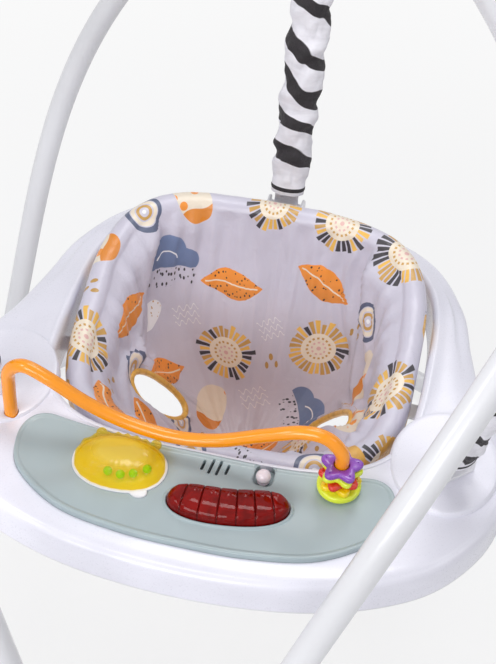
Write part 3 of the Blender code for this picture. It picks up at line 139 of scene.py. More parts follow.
class Paint:
    def __init__(self, name, **fixed):
        self.material = bpy.data.materials.new(name)
        self.material.use_nodes = True
        self.tree = self.material.node_tree
        self.shader = self.tree.nodes["Principled BSDF"]
        for socket, value in fixed.items():     # what is the same all over the surface
            self.shader.inputs[socket.replace("_", " ")].default_value = value

    def node(self, kind, settings=None, sockets=None, out=0):
        made = self.tree.nodes.new(kind)
        for key, value in (settings or {}).items():
            if key == "stops":
                ramp = made.color_ramp
                while len(ramp.elements) < len(value):
                    ramp.elements.new(0.5)
                for element, (at, colour) in zip(ramp.elements, value):
                    element.position = at
                    element.color = colour
            else:
                setattr(made, key, value)
        for key, value in (sockets or {}).items():
            if isinstance(value, Wire):
                self.tree.links.new(value.socket, made.inputs[key])
            else:
                made.inputs[key].default_value = value
        return Wire(self, made.outputs[out])

    def maths(self, operation, *values, clamp=False):
        return self.node("ShaderNodeMath", {"operation": operation, "use_clamp": clamp},
                         dict(enumerate(values)))

    def blend(self, mask, first, second):
        return self.node("ShaderNodeMix", {"data_type": "RGBA"}, {0: mask, 6: first, 7: second}, out=2)

    def within(self, distance, reach, soft):
        # 1 where the distance is under reach, with an edge as wide as soft
        return self.maths("MULTIPLY_ADD", distance, -1 / soft, reach / soft + 0.5, clamp=True)

    def far(self, x, y):
        return self.maths("SQRT", x ** 2 + y ** 2)

    def wave(self, value):
        return self.maths("SINE", value)

    def cycle(self, value):
        # Distance from the middle of each whole step, 0 to 0.5
        return abs(self.maths("FRACT", value) - 0.5)

    def mottle(self, value, first, second):
        return self.blend(self.level(value, 0.35, 0.65), first, second)

    def attribute(self, name):
        return self.node("ShaderNodeAttribute", {"attribute_name": name}, out="Fac")

    def objectPlace(self, scale=None, turn=(0, 0, 0)):
        place = self.node("ShaderNodeTexCoord", out="Object")
        if scale is None:
            return place
        return self.node("ShaderNodeMapping", None, {"Vector": place, "Scale": scale, "Rotation": turn})

    def mapPlace(self, name, scale=(1, 1, 1)):
        place = self.node("ShaderNodeUVMap", {"uv_map": name})
        return self.node("ShaderNodeMapping", None, {"Vector": place, "Scale": scale})

    def split(self, vector):
        parts = self.node("ShaderNodeSeparateXYZ", None, {0: vector})
        outs = parts.socket.node.outputs
        return Wire(self, outs[0]), Wire(self, outs[1]), Wire(self, outs[2])

    def join(self, x, y, z=0.0):
        return self.node("ShaderNodeCombineXYZ", None, {0: x, 1: y, 2: z})

    def cloud(self, place, scale, detail=2.0, roughness=0.5, distortion=0.0):
        return self.node("ShaderNodeTexNoise", None, {"Vector": place, "Scale": scale, "Detail": detail,
                                                      "Roughness": roughness, "Distortion": distortion})

    def cells(self, place, scale, feature="F1", out="Distance", randomness=1.0):
        return self.node("ShaderNodeTexVoronoi", {"feature": feature},
                         {"Vector": place, "Scale": scale, "Randomness": randomness}, out=out)

    def ramp(self, value, *stops):
        return self.node("ShaderNodeValToRGB", {"stops": stops}, {0: value})

    def level(self, value, low, high, toLow=0.0, toHigh=1.0):
        return self.node("ShaderNodeMapRange", {"clamp": True},
                         {"Value": value, "From Min": low, "From Max": high,
                          "To Min": toLow, "To Max": toHigh})

    def seeThrough(self, tint, share):
        # Mixes in plain tinted transparency; share is what the surface itself shows
        clear = self.tree.nodes.new("ShaderNodeBsdfTransparent")
        clear.inputs["Color"].default_value = tint
        mix = self.tree.nodes.new("ShaderNodeMixShader")
        if isinstance(share, Wire):
            self.tree.links.new(share.socket, mix.inputs[0])
        else:
            mix.inputs[0].default_value = share
        self.tree.links.new(clear.outputs[0], mix.inputs[1])
        self.tree.links.new(self.shader.outputs[0], mix.inputs[2])
        self.tree.links.new(mix.outputs[0], self.tree.nodes["Material Output"].inputs["Surface"])
        return self.material

    def finish(self, colour=None, roughness=None, metallic=None, height=None, strength=0.3, depth=0.001,
               coat=None):
        for name, value in (("Base Color", colour), ("Roughness", roughness), ("Metallic", metallic),
                            ("Coat Weight", coat)):
            if isinstance(value, Wire):
                self.tree.links.new(value.socket, self.shader.inputs[name])
            elif value is not None:
                self.shader.inputs[name].default_value = value
        if height is not None:
            bump = self.node("ShaderNodeBump", None, {"Height": height, "Strength": strength,
                                                      "Distance": depth})
            self.tree.links.new(bump.socket, self.shader.inputs["Normal"])
        return self.material


# Finishes

def mouldedPlastic(name, shade, roughness=0.32, grain=0.25, coat=0.25, deep=0.86, **fixed):
    paint = Paint(name, Coat_Roughness=0.12, **fixed)
    place = paint.objectPlace()
    mottle = paint.cloud(place, 9, 3, 0.55)
    flow = paint.cloud(paint.objectPlace((3, 3, 11)), 4, 2, 0.5, 0.6)      # faint flow lines of the moulding
    fine = paint.cloud(place, 620, 2, 0.6)
    pits = paint.cells(place, 1500)
    tint = paint.level(mottle * 0.6 + flow * 0.4, 0.32, 0.68)
    colour = paint.blend(tint, tone(shade, deep), tone(shade, 1.03))
    scuff = paint.level(paint.cloud(paint.objectPlace((60, 60, 8), (0.4, 0.2, 0.6)), 9, 3, 0.7), 0.60, 0.78)
    rough = paint.level(fine, 0.3, 0.7, roughness - 0.05, roughness + 0.07) + scuff * 0.07
    height = fine * 0.5 + pits * grain
    return paint.finish(colour, rough, 0.0, height, 0.10, 0.0004, coat)


def coatedSteel():
    paint = Paint("whiteCoatedSteel", Coat_Weight=0.35, Coat_Roughness=0.08)
    place = paint.objectPlace()
    peel = paint.cloud(place, 260, 2, 0.5)                                  # orange peel of the coating
    soft = paint.cloud(place, 6, 2, 0.5)
    specks = paint.level(paint.cells(place, 160), 0.0, 0.05, 1.0, 0.0)
    colour = paint.blend(paint.level(soft, 0.35, 0.65), tone("whiteCoat", 0.93), tone("whiteCoat", 1.02))
    colour = paint.blend(specks * 0.10, colour, tone("greyGreenDeep"))
    rough = paint.level(peel, 0.3, 0.7, 0.28, 0.36)
    return paint.finish(colour, rough, 0.0, peel, 0.02, 0.0003)


def bareSteel(name="springSteel"):
    paint = Paint(name)
    place = paint.objectPlace()
    drawn = paint.cloud(paint.objectPlace((30, 30, 400)), 3, 3, 0.6)
    stain = paint.cloud(place, 60, 3, 0.6)
    colour = paint.blend(paint.level(stain, 0.4, 0.7), tone("steel", 1.05), tone("steel", 0.72))
    return paint.finish(colour, paint.level(drawn, 0.3, 0.7, 0.22, 0.42), 1.0, drawn, 0.15, 0.0003)


def glossyPlastic(name, shade, roughness=0.14, deep=0.84, coat=0.6, glow=1.04):
    paint = Paint(name, Coat_Roughness=0.05, IOR=1.5)
    place = paint.objectPlace()
    swirl = paint.cloud(place, 26, 3, 0.5, 1.2)
    fine = paint.cloud(place, 420, 2, 0.5)
    streaks = paint.cloud(paint.objectPlace((240, 30, 30), (0.3, 0.5, 0.8)), 6, 2, 0.6)
    scratch = paint.level(streaks, 0.62, 0.75)
    colour = paint.blend(paint.level(swirl, 0.3, 0.7), tone(shade, deep), tone(shade, glow))
    rough = paint.level(fine, 0.3, 0.7, roughness - 0.03, roughness + 0.05) + scratch * 0.06
    return paint.finish(colour, rough, 0.0, fine, 0.05, 0.0003, coat)


def domePlastic(name, topShare, sideShare):
    # Tinted clear plastic: paler where the flat top catches the light, deeper down the sides
    paint = Paint(name, IOR=1.48, Coat_Weight=0.35, Coat_Roughness=0.03, Specular_IOR_Level=0.5)
    x, y, z = paint.split(paint.objectPlace())
    far = paint.far((x - (trayOrigin.x + rattle["centre"][0])) / rattle["halfWidth"],
                    (y - (trayOrigin.y + rattle["centre"][1])) / rattle["halfLength"])
    swirl = paint.cloud(paint.objectPlace(), 70, 3, 0.5, 1.0)
    top = paint.level(far + swirl * 0.2, 0.55, 0.85, 1.0, 0.0)
    sides = paint.mottle(swirl, tone("domeYellow", 0.92), tone("domeYellow"))
    ripple = paint.cloud(paint.objectPlace(), 150, 2, 0.5)
    paint.finish(paint.blend(top, sides, tone("domeCream")), paint.level(ripple, 0.3, 0.7, 0.07, 0.13), 0.0,
                 ripple, 0.08, 0.0005)
    return paint.seeThrough((1.0, 0.93, 0.42, 1), paint.level(far, 0.45, 0.8, topShare, sideShare))


def lampPlastic():
    # Dark red lens, painted nearly black in its grooves and darker towards its foot, as painted shade
    paint = Paint("redLampLens", IOR=1.48, Coat_Weight=0.2, Coat_Roughness=0.02, Specular_IOR_Level=0.12)
    x, y, z = paint.split(paint.objectPlace())
    turn, half = radians(lens["turn"]), lens["length"] / 2
    x = x - (trayOrigin.x + lens["centre"][0])
    y = y - (trayOrigin.y + lens["centre"][1])
    across = x * cos(turn) + y * sin(turn)
    back = y * cos(turn) - x * sin(turn) - lens["bend"] * (1 - 0.5 * (1 - cos(half / lens["bend"])))
    along = paint.maths("ARCTAN2", across, 0 - back) * lens["bend"]
    pitch = lens["length"] / lens["segments"]
    near = paint.cycle(along / pitch + 100) * pitch
    groove = paint.within(near, lens["grooveWidth"], 0.0007) & paint.within(abs(along), half - 0.004, 0.001)
    swirl = paint.cloud(paint.objectPlace(), 60, 3, 0.5, 1.2)
    low = paint.level(z - trayOrigin.z, 0.0, lens["height"] * 0.8, 1.0, 0.0)
    colour = paint.mottle(swirl, tone("lensRed", 0.6), tone("lensRed", 1.0))
    # Painted shade: darker towards the lens's foot
    colour = paint.blend(low * 0.45, colour, tone("lensRed", 0.35))
    # Painted shade: the grooves nearly black
    colour = paint.blend(groove * 0.7, colour, tone("lensRed", 0.22))
    ripple = paint.cloud(paint.objectPlace(), 110, 2, 0.5)
    paint.finish(colour, paint.level(ripple, 0.3, 0.7, 0.05, 0.09), 0.0, ripple, 0.05, 0.0005)
    return paint.seeThrough((0.85, 0.06, 0.03, 1), 0.86)


def goldThread(paint):
    # Colour, height and weave of the gold satin; the colour follows the puckers as painted highlight and
    # shade
    around, along, rest = paint.split(paint.mapPlace("cloth"))
    ribs = paint.wave(along * 9000)
    weave = paint.cloud(paint.mapPlace("cloth", (2600, 300, 1)), 1, 2, 0.6)
    pucker = paint.cloud(paint.mapPlace("cloth", (30, 110, 1)), 1, 2, 0.5)
    # Painted highlight and shade that follow the puckers
    light = paint.level(pucker * 0.8 + weave * 0.2, 0.26, 0.74)
    colour = paint.ramp(light, (0.0, tone("goldDeep")), (0.55, tone("gold")), (1.0, tone("sunGold", 0.95)))
    return colour, pucker * 1.2 + weave * 0.12 + ribs * 0.05, weave


def satinBinding():
    paint = Paint("goldSatin", Sheen_Weight=0.25, Sheen_Roughness=0.4, Anisotropic=0.3)
    colour, height, weave = goldThread(paint)
    return paint.finish(colour, paint.level(weave, 0.3, 0.7, 0.26, 0.40), 0.0, height, 0.35, 0.0007)


def wovenStrap():
    paint = Paint("wovenWebbing", Sheen_Weight=0.15)
    across, along, rest = paint.split(paint.mapPlace("cloth"))
    twill = paint.wave(along * 6200 + paint.cycle(along * 260) * 5.0) * paint.wave(across * 5200)
    lanes = paint.wave(along * 1500)
    fuzz = paint.cloud(paint.objectPlace(), 900, 3, 0.7)
    soil = paint.cloud(paint.objectPlace(), 40, 3, 0.6)
    shade = paint.level(twill * 0.35 + lanes * 0.12 + fuzz, 0.2, 0.9)
    colour = paint.blend(shade, tone("webbing", 0.92), tone("webbing", 1.08))
    colour = paint.blend(paint.level(soil, 0.55, 0.8) * 0.25, colour, tone("lavenderDeep"))
    return paint.finish(colour, paint.level(fuzz, 0.2, 0.8, 0.68, 0.9), 0.0,
                        twill * 0.5 + fuzz * 0.5 + lanes * 0.3, 0.5, 0.0006)


def stripedCloth(girth):
    paint = Paint("stripedSleeve", Sheen_Weight=0.05, Sheen_Roughness=0.5)
    around, along, rest = paint.split(paint.mapPlace("cloth"))
    drift = paint.cloud(paint.objectPlace(), 19, 1, 0.4)
    # Stripes to the metre, and where they start
    slant = along * 23.0 - around / girth + drift * 1.5 + 8.63
    black = paint.within(paint.cycle(slant), 0.19, 0.02)
    piping = paint.within(abs(along - sleeveCloth["piping"]), 0.0024, 0.0003)
    cuff = paint.within(along, sleeveCloth["cuffLength"], 0.0003)
    weave = paint.wave(around * 7600) * paint.wave(along * 7600)
    fuzz = paint.cloud(paint.objectPlace(), 700, 3, 0.65)
    crease = paint.cloud(paint.mapPlace("cloth", (40, 120, 1)), 1, 3, 0.55, 0.6)
    # The crease pattern also lightens and darkens the cloth: painted highlight and shade on its creases
    pale = paint.mottle(crease, tone("sleeveWhite", 0.90), tone("sleeveWhite", 1.02))
    dark = paint.mottle(crease, tone("ink", 0.55), tone("ink", 0.95))
    colour = paint.blend((black & (1 - cuff)) | piping, pale, dark)
    return paint.finish(colour, paint.level(fuzz, 0.3, 0.7, 0.62, 0.8), 0.0,
                        weave * 0.18 + fuzz * 0.35 + crease * 1.5, 0.5, 0.0009)


def printedSatin():
    paint = Paint("printedSeatCloth", Sheen_Weight=0.18, Sheen_Roughness=0.35, Specular_IOR_Level=0.6)
    # Millimetres from the motif's middle
    u, v, rest = paint.split(paint.mapPlace("printPlace", (1000, 1000, 1)))
    kind, seed = paint.attribute("motifKind"), paint.attribute("motifSeed")
    far = paint.far(u, v)
    turn = paint.maths("ARCTAN2", v, u) / (2 * pi) + 0.5
    wobble = paint.cloud(paint.join(u * 0.03, v * 0.03, seed * 9), 1.6, 1, 0.4) - 0.5
    inks = []

    def ink(number, mask, colour):
        inks.append((mask & paint.within(abs(kind - number), 0.25, 0.1), colour))

    def chance(first):
        place = paint.join(first, seed)
        return paint.node("ShaderNodeTexWhiteNoise", {"noise_dimensions": "2D"}, {"Vector": place})

    def disc(x, y, reach):
        return paint.within(paint.far(u - x, v - y), reach, 0.4)

    def band(distance, reach, half, soft):
        return paint.within(abs(distance - reach), half, soft)

    def dots(scale, reach, soft, squeeze=1.0):
        place = paint.join(u * scale, v * scale * squeeze, seed * 7)
        return paint.within(paint.cells(place, 1.0, randomness=0.75), reach, soft)

    def dotRing(distance, half, count):
        return band(far, distance, half, 0.4) & paint.within(paint.cycle(turn * count), 0.25, 0.1)

    def seedAt(x, y):
        return paint.within(((u - x) / 2.0) ** 2 + ((v - y) / 3.6) ** 2, 1, 0.2)

    # 1: a sun, a cream disc with rings of dots inside three colours of rays
    ray = turn * 28
    step = paint.maths("FLOOR", ray)
    pick = chance(step)
    length = chance(step + 40) * 5.5 + 25.5
    rays = paint.within(paint.cycle(ray), 0.36, 0.07) & paint.within(far, length, 0.4)
    rays = rays & (1 - paint.within(far, 15, 0.4))
    golden = paint.blend(pick > 0.66, tone("mustard"), tone("sunGold"))
    ink(1, rays, paint.blend(pick > 0.30, tone("ink"), golden))
    ink(1, paint.within(far + wobble * 3.0, 16.5, 0.4), tone("cream"))
    ink(1, dotRing(11.0, 1.1, 16), tone("mustard"))
    ink(1, dotRing(6.4, 0.9, 9) | paint.within(far, 2.1, 0.4), tone("blush"))
    # 2: a slate rain cloud with speckled rain
    body = (disc(-14, -1, 10.5) | disc(1, 5, 14.5) | disc(16, -0.5, 9.5)) & paint.within(0 - v, 6.5, 0.4)
    ink(2, body, paint.blend(paint.level(v, -7, 18), tone("slate", 0.82), tone("slate", 1.1)))
    rain = dots(0.34, 0.30, 0.07, 0.6) & band(v, -14.5, 7.0, 0.5) & paint.within(abs(u + v * 0.25), 21, 1)
    ink(2, rain, tone("ink"))
    ink(2, band(paint.far(u, v + 2), 8.5, 0.55, 0.3) & (v > 0.0), tone("white"))
    # 3: an orange leaf with dark flecks and a cream rib
    rib = abs(v + paint.wave(u * 0.09) * 2.2)
    leaf = paint.within(rib - 14.5 * paint.maths("COSINE", u * (pi / 2 / 30)), 0, 0.5)
    leaf = leaf & paint.within(abs(u), 29.5, 0.4)
    ink(3, leaf, paint.blend(paint.level(v, -12, 12), tone("spotOrange", 0.86), tone("spotOrange", 1.12)))
    ink(3, leaf & dots(0.30, 0.25, 0.06, 0.72) & (1 - paint.within(rib, 2.4, 0.4)), tone("ink"))
    ink(3, paint.within(rib, 0.7, 0.3) & paint.within(abs(u), 25, 0.5), tone("cream"))
    # 4: a target of slate, cream and mustard rings
    rough = far + wobble * 2.4
    for reach, half, shade in ((16.2, 2.1, "slateDeep"), (11.4, 1.8, "cream"), (6.6, 1.5, "mustard")):
        ink(4, band(rough, reach, half, 0.35), tone(shade))
    ink(4, paint.within(rough, 2.2, 0.35), tone("white"))
    # 5: a tall cream stone with orange patches on an orange foot
    shape = (abs(u) / 15.5) ** 2.6 + (abs(v) / 24.0) ** 2.6
    stone = paint.within(shape, 1.0, 0.06)
    patches = paint.cells(paint.join(u * 0.085, v * 0.085, seed * 5), 1.0, randomness=0.9)
    ink(5, stone, tone("cream", 0.95))
    ink(5, paint.within(shape, 0.95, 0.06) & paint.within(patches, 0.33, 0.03), tone("spotOrange"))
    ink(5, stone & paint.within(v + paint.wave(u * 0.22) * 1.6, -10.5, 0.4), tone("spotOrange", 0.82))
    # 6: loose white dots
    ink(6, dots(0.17, 0.21, 0.04) & paint.within(far, 15, 1), tone("white"))
    # 7: white wavy lines
    line = v - paint.wave(u * 0.95) * 2.4
    rows = band(line, 5, 0.55, 0.35) | band(line, -2, 0.55, 0.35) | band(line, -9, 0.55, 0.35)
    ink(7, rows & paint.within(abs(u), 12, 0.6), tone("white", 0.93))
    # 8: three mustard seeds
    ink(8, seedAt(0, 5) | seedAt(5, -3) | seedAt(-5, -3.6), tone("mustard", 0.85))
    # 9: a pale pebble with mustard specks
    pebble = paint.within(paint.far(u / 1.35, v) + wobble * 4, 10, 0.4)
    ink(9, pebble, tone("white"))
    ink(9, pebble & (u > -2.0) & dots(0.33, 0.27, 0.06, 0.7), tone("mustard"))

    place = paint.objectPlace()
    wash = paint.cloud(place, 16, 2, 0.5)
    colour = paint.mottle(wash, tone("lavender", 0.95), tone("lavender", 1.02))
    for mask, shade in inks:
        colour = paint.blend(mask * 0.96, colour, shade)
    # Painted shade and painted warm reflection: darker and warmer towards the bucket's bottom
    x, y, z = paint.split(place)
    deep = paint.level(z, trayOrigin.z - 0.04, trayOrigin.z - 0.18)
    colour = paint.node("ShaderNodeMix", {"data_type": "RGBA", "blend_type": "MULTIPLY"},
                        {0: deep, 6: colour, 7: (0.92, 0.82, 0.74, 1)}, out=2)
    goldColour, goldHeight, goldWeave = goldThread(paint)
    hem = paint.level(paint.attribute("hemEdge"), -0.12, 0.12)
    colour = paint.blend(hem, colour, goldColour)
    weave = paint.cloud(place, 1500, 2, 0.6)
    crumple = paint.cloud(place, 46, 3, 0.55, 0.8)
    fine = paint.cloud(place, 150, 2, 0.5)
    sheen = paint.level(wash * 0.5 + fine * 0.5, 0.35, 0.65, 0.30, 0.44)
    height = crumple * 1.0 + fine * 0.22 + weave * 0.05 + goldHeight * hem * 0.35
    return paint.finish(colour, sheen - hem * 0.06, 0.0, height, 0.45, 0.0026)


def circuitBoard(name, shade):
    paint = Paint(name, Coat_Weight=0.3)
    place = paint.objectPlace()
    tracks = paint.cells(place, 260, "DISTANCE_TO_EDGE")
    pads = paint.within(paint.cells(place, 190), 0.16, 0.04)
    colour = paint.blend(paint.within(tracks, 0.06, 0.02), tone(shade), tone(shade, 1.7))
    colour = paint.blend(pads, colour, tone("copper"))
    return paint.finish(colour, 0.35, pads * 0.8, tracks, 0.2, 0.0003)


def cellJacket():
    paint = Paint("cellJacket", Coat_Weight=0.5)
    x, y, z = paint.split(paint.objectPlace())
    end = paint.within(abs(abs(x) - 0.019), 0.006, 0.0004)
    scuff = paint.cloud(paint.objectPlace(), 300, 2, 0.5)
    colour = paint.blend(end, tone("cellBlue"), tone("cellGold"))
    colour = paint.blend(paint.level(scuff, 0.3, 0.7) * 0.2, colour, tone("ink"))
    return paint.finish(colour, paint.level(scuff, 0.3, 0.7, 0.22, 0.34), end * 0.6, scuff, 0.05, 0.0002)


finishes = {
    "white_steel": coatedSteel(),
    "spring_steel": bareSteel(),
    "grey_green_plastic": mouldedPlastic("greyGreenPlastic", "greyGreen", 0.34, 0.22, 0.18),
    "pale_plastic": mouldedPlastic("paleShellPlastic", "paleShell", 0.30, 0.18, 0.28, 0.93),
    "white_plastic": mouldedPlastic("whitePlastic", "whiteShell", 0.36, 0.2, 0.15, 0.92),
    "orange_plastic": glossyPlastic("orangeTubePlastic", "orange", 0.2, 0.95, 0.2),
    "red_lens": lampPlastic(),
    "yellow_lens": domePlastic("yellowRattleDome", 0.42, 0.24),
    "domeLining": domePlastic("rattleDomeLining", 0.03, 0.02),
    "purple_plastic": glossyPlastic("purplePlastic", "purple", 0.24, 0.88, 0.35),
    "lime_plastic": glossyPlastic("limePlastic", "lime", 0.22, 0.90, 0.35),
    "red_plastic": glossyPlastic("redPlastic", "red", 0.22, 0.88, 0.35),
    "yellow_plastic": glossyPlastic("yellowPlastic", "yellow", 0.22, 0.92, 0.35),
    "green_plastic": glossyPlastic("greenBallPlastic", "ballGreen", 0.18, 0.85, 0.5),
    "pink_plastic": glossyPlastic("knobPlastic", "knobWhite", 0.18, 0.93, 0.5),
    "lavender_fabric": printedSatin(),
    "gold_satin": satinBinding(),
    "striped_fabric": stripedCloth(sleeveCloth["girth"]),
    "white_webbing": wovenStrap(),
    "black_plastic": mouldedPlastic("blackPlastic", "blackPlastic", 0.45, 0.3, 0.1),
    "board_green": circuitBoard("printedBoard", "boardGreen"),
    "cell_jacket": cellJacket(),
}
finishes["stitch"] = mouldedPlastic("sewingThread", "white", 0.7, 0.1, 0.0)
finishes["goldStitch"] = mouldedPlastic("goldThread", "mustard", 0.6, 0.1, 0.0)
finishes["switchPlastic"] = mouldedPlastic("switchPlastic", "greyGreenDeep", 0.4, 0.3, 0.1)
# Seen round the knob, and paler than the other black pieces
nodeFinish = {"switch_body": "switchPlastic"}
for part in frame["record"]["subparts"]:
    data = frame["nodes"][part["node"]].data
    data.materials.clear()
    data.materials.append(finishes[nodeFinish.get(part["node"], part["material_slot"])])
print("finishes made:", len(finishes))


# Mesh tools

def meshFrom(name, points, faces, uvs=None):
    data = bpy.data.meshes.new(name)
    data.from_pydata([tuple(p) for p in points], [], faces)
    if uvs is not None:
        data.uv_layers.new(name="cloth").data.foreach_set("uv", [c for uv in uvs for c in uv])
    shape = bmesh.new()
    shape.from_mesh(data)
    bmesh.ops.recalc_face_normals(shape, faces=shape.faces)
    shape.to_mesh(data)
    shape.free()
    return data


def onTray(x, y, z=0.0):
    return trayOrigin + Vector((x, y, z))


def cut(data):
    return "DIFFERENCE", data


def fuse(data):
    return "UNION", data


def moved(outline, x, y):
    return [(x + a, y + b) for a, b in outline]


def layers(outlineAt, levels):
    # Rings on the tray, from (growth, height) levels
    return [[onTray(x, y, z) for x, y in outlineAt(grow)] for grow, z in levels]


def inWords(start, label):
    return start + label.title().replace("_", "")


def superReach(c, s, halfA, halfB, squareness):
    # From the middle to a superellipse's edge, along the way (c, s)
    return (abs(c / halfA) ** squareness + abs(s / halfB) ** squareness) ** (-1 / squareness)


def fadeOut(value):
    return 2.718 ** -value


def loft(name, rings, loop=False, cloth=False):
    # Skin through rings of equal count, with a map in metres for cloth
    count = len(rings[0])
    points = [p for ring in rings for p in ring]
    faces, uvs = [], []
    around = []
    for ring in rings:
        steps = [0.0]
        for i in range(count):
            steps.append(steps[-1] + (ring[(i + 1) % count] - ring[i]).length)
        around.append(steps)
    along = [0.0]
    for k in range(1, len(rings) + 1):
        before, after = rings[k - 1], rings[k % len(rings)]
        along.append(along[-1] + sum((b - a).length for a, b in zip(before, after)) / count)
    for k in range(len(rings) if loop else len(rings) - 1):
        low, high = k * count, (k + 1) % len(rings) * count
        for i in range(count):
            j = (i + 1) % count
            faces.append((low + i, low + j, high + j, high + i))
            nextAround = around[(k + 1) % len(rings)]
            uvs += [(around[k][i], along[k]), (around[k][i + 1], along[k]),
                    (nextAround[i + 1], along[k + 1]), (nextAround[i], along[k + 1])]
    if not loop:
        for end in (range(count), range(len(points) - count, len(points))):
            faces.append(tuple(end))
            uvs += [(around[0][n], 0.0) for n in range(count)]
    return meshFrom(name, points, faces, uvs if cloth else None)


def circle(radius, sides):
    return [(radius * cos(2 * pi * k / sides), radius * sin(2 * pi * k / sides)) for k in range(sides)]


def superEllipse(halfA, halfB, squareness, sides):
    points = []
    for k in range(sides):
        c, s = cos(2 * pi * k / sides), sin(2 * pi * k / sides)
        reach = superReach(c, s, halfA, halfB, squareness)
        points.append((reach * c, reach * s))
    return points


def sweepRings(path, sections, closed=False, side=None):
    count = len(path)
    across = None
    rings = []
    for k, here in enumerate(path):
        before = path[(k - 1) % count] if closed else path[max(k - 1, 0)]
        after = path[(k + 1) % count] if closed else path[min(k + 1, count - 1)]
        ahead = (after - before).normalized()
        if side is not None:
            across = (side - ahead * side.dot(ahead)).normalized()
        elif across is None:
            across = ahead.orthogonal().normalized()
        else:
            across = (across - ahead * across.dot(ahead)).normalized()
        over = ahead.cross(across)
        section = sections[k] if isinstance(sections[0], list) else sections
        rings.append([here + across * a + over * b for a, b in section])
    return rings


def cylinderBetween(start, end, radius, sides=32):
    return loft("cylinder", sweepRings([Vector(start), Vector(end)], circle(radius, sides)))


def prism(outline, low, high, shift=trayOrigin):
    return loft("prism", [[Vector((x, y, z)) + shift for x, y in outline] for z in (low, high)])


def through(outline):
    # A cut through the deck and the panel
    return cut(prism(outline, -0.02, 0.02))


def throughPoints(fours, steps):
    # A smooth curve from the second to the third of each four points
    curve = []
    for p0, p1, p2, p3 in fours:
        for s in range(steps):
            t = s / steps
            curve.append(0.5 * (2 * p1 + (p2 - p0) * t + (2 * p0 - 5 * p1 + 4 * p2 - p3) * t * t
                                + (3 * p1 - p0 - 3 * p2 + p3) * t ** 3))
    return curve


def smoothClosed(points, steps):
    count = len(points)
    return throughPoints([[Vector(points[(k + d) % count]) for d in (-1, 0, 1, 2)] for k in range(count)],
                         steps)


def smoothOpen(points, steps):
    points = [Vector(p) for p in points]
    ends = [points[0] * 2 - points[1]] + points + [points[-1] * 2 - points[-2]]
    return throughPoints([ends[k - 1:k + 3] for k in range(1, len(ends) - 2)], steps) + [points[-1]]


def mirroredOutline(half, steps):
    left = [(-x, y) for x, y in reversed(half[1:-1])]
    return smoothClosed([(x, y, 0) for x, y in (*half, *left)], steps)


def offsetOutline(outline, distance):
    following = outline[1:] + outline[:1]
    area = sum(a[0] * b[1] - b[0] * a[1] for a, b in zip(outline, following))
    turn = 1 if area > 0 else -1
    grown = []
    for here, before, after in zip(outline, outline[-1:] + outline[:-1], following):
        ahead = Vector((after[0] - before[0], after[1] - before[1])).normalized()
        grown.append((here[0] + turn * ahead.y * distance, here[1] - turn * ahead.x * distance))
    return grown


def polarReach(outline, angle):
    # How far a closed outline lies from the origin at this angle
    best = 0.0
    wayX, wayY = cos(angle), sin(angle)
    for k, a in enumerate(outline):
        b = outline[(k + 1) % len(outline)]
        edgeX, edgeY = b[0] - a[0], b[1] - a[1]
        cross = wayX * edgeY - wayY * edgeX
        if abs(cross) < 1e-12:
            continue
        share = (a[0] * wayY - a[1] * wayX) / cross
        if -1e-9 <= share <= 1 + 1e-9:
            best = max(best, (a[0] * edgeY - a[1] * edgeX) / cross)
    return best


def ease(t):
    t = min(max(t, 0.0), 1.0)
    return t * t * (3 - 2 * t)


def outward(angle):
    return Vector((cos(radians(angle)), sin(radians(angle)), 0))


def newObject(name, data):
    made = bpy.data.objects.new(name, data)
    bpy.context.scene.collection.objects.link(made)
    return made


def plainMesh(piece):
    graph = bpy.context.evaluated_depsgraph_get()
    return bpy.data.meshes.new_from_object(piece.evaluated_get(graph), preserve_all_data_layers=True,
                                           depsgraph=graph)


def settle(piece):
    # Turns the modifiers' result into a plain mesh
    data = plainMesh(piece)
    piece.modifiers.clear()
    piece.data = data
    return piece


def combine(piece, steps):
    # Cuts and joins, in order: ("DIFFERENCE" or "UNION", mesh)
    tools = []
    for number, (operation, data) in enumerate(steps):
        tool = newObject(f"tool{number}", data)
        tools.append(tool)
        step = piece.modifiers.new(f"step{number}", "BOOLEAN")
        step.operation = operation
        step.solver = "EXACT"
        step.object = tool
    settle(piece)
    if not piece.data.polygons:
        raise ValueError(piece.name + ": nothing left after its cuts")
    for tool in tools:
        bpy.data.objects.remove(tool)
    return piece


def roundEdges(piece, width, segments=3, angle=35):
    bevel = piece.modifiers.new("roundEdges", "BEVEL")
    bevel.width = width
    bevel.segments = segments
    bevel.limit_method = "ANGLE"
    bevel.angle_limit = radians(angle)
    bevel.harden_normals = False
    return settle(piece)


def dress(piece, slot, angle=38, finish=None):
    piece.data.materials.clear()
    piece.data.materials.append(finishes[finish or slot])
    piece.data.shade_smooth()
    piece.data.set_sharp_from_angle(angle=radians(angle))
    slot in slotNames
    return piece


def place(piece, body, slot, *nodes, angle=38, finish=None):
    dress(piece, slot, angle, finish)
    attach(piece, body)
    if nodes:
        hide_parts(*nodes)
    return piece


slotNames = [m["slot"] for m in frame["record"]["materials"]]


# Geometry Nodes: tubes along a path, rows of stitches, screws on points

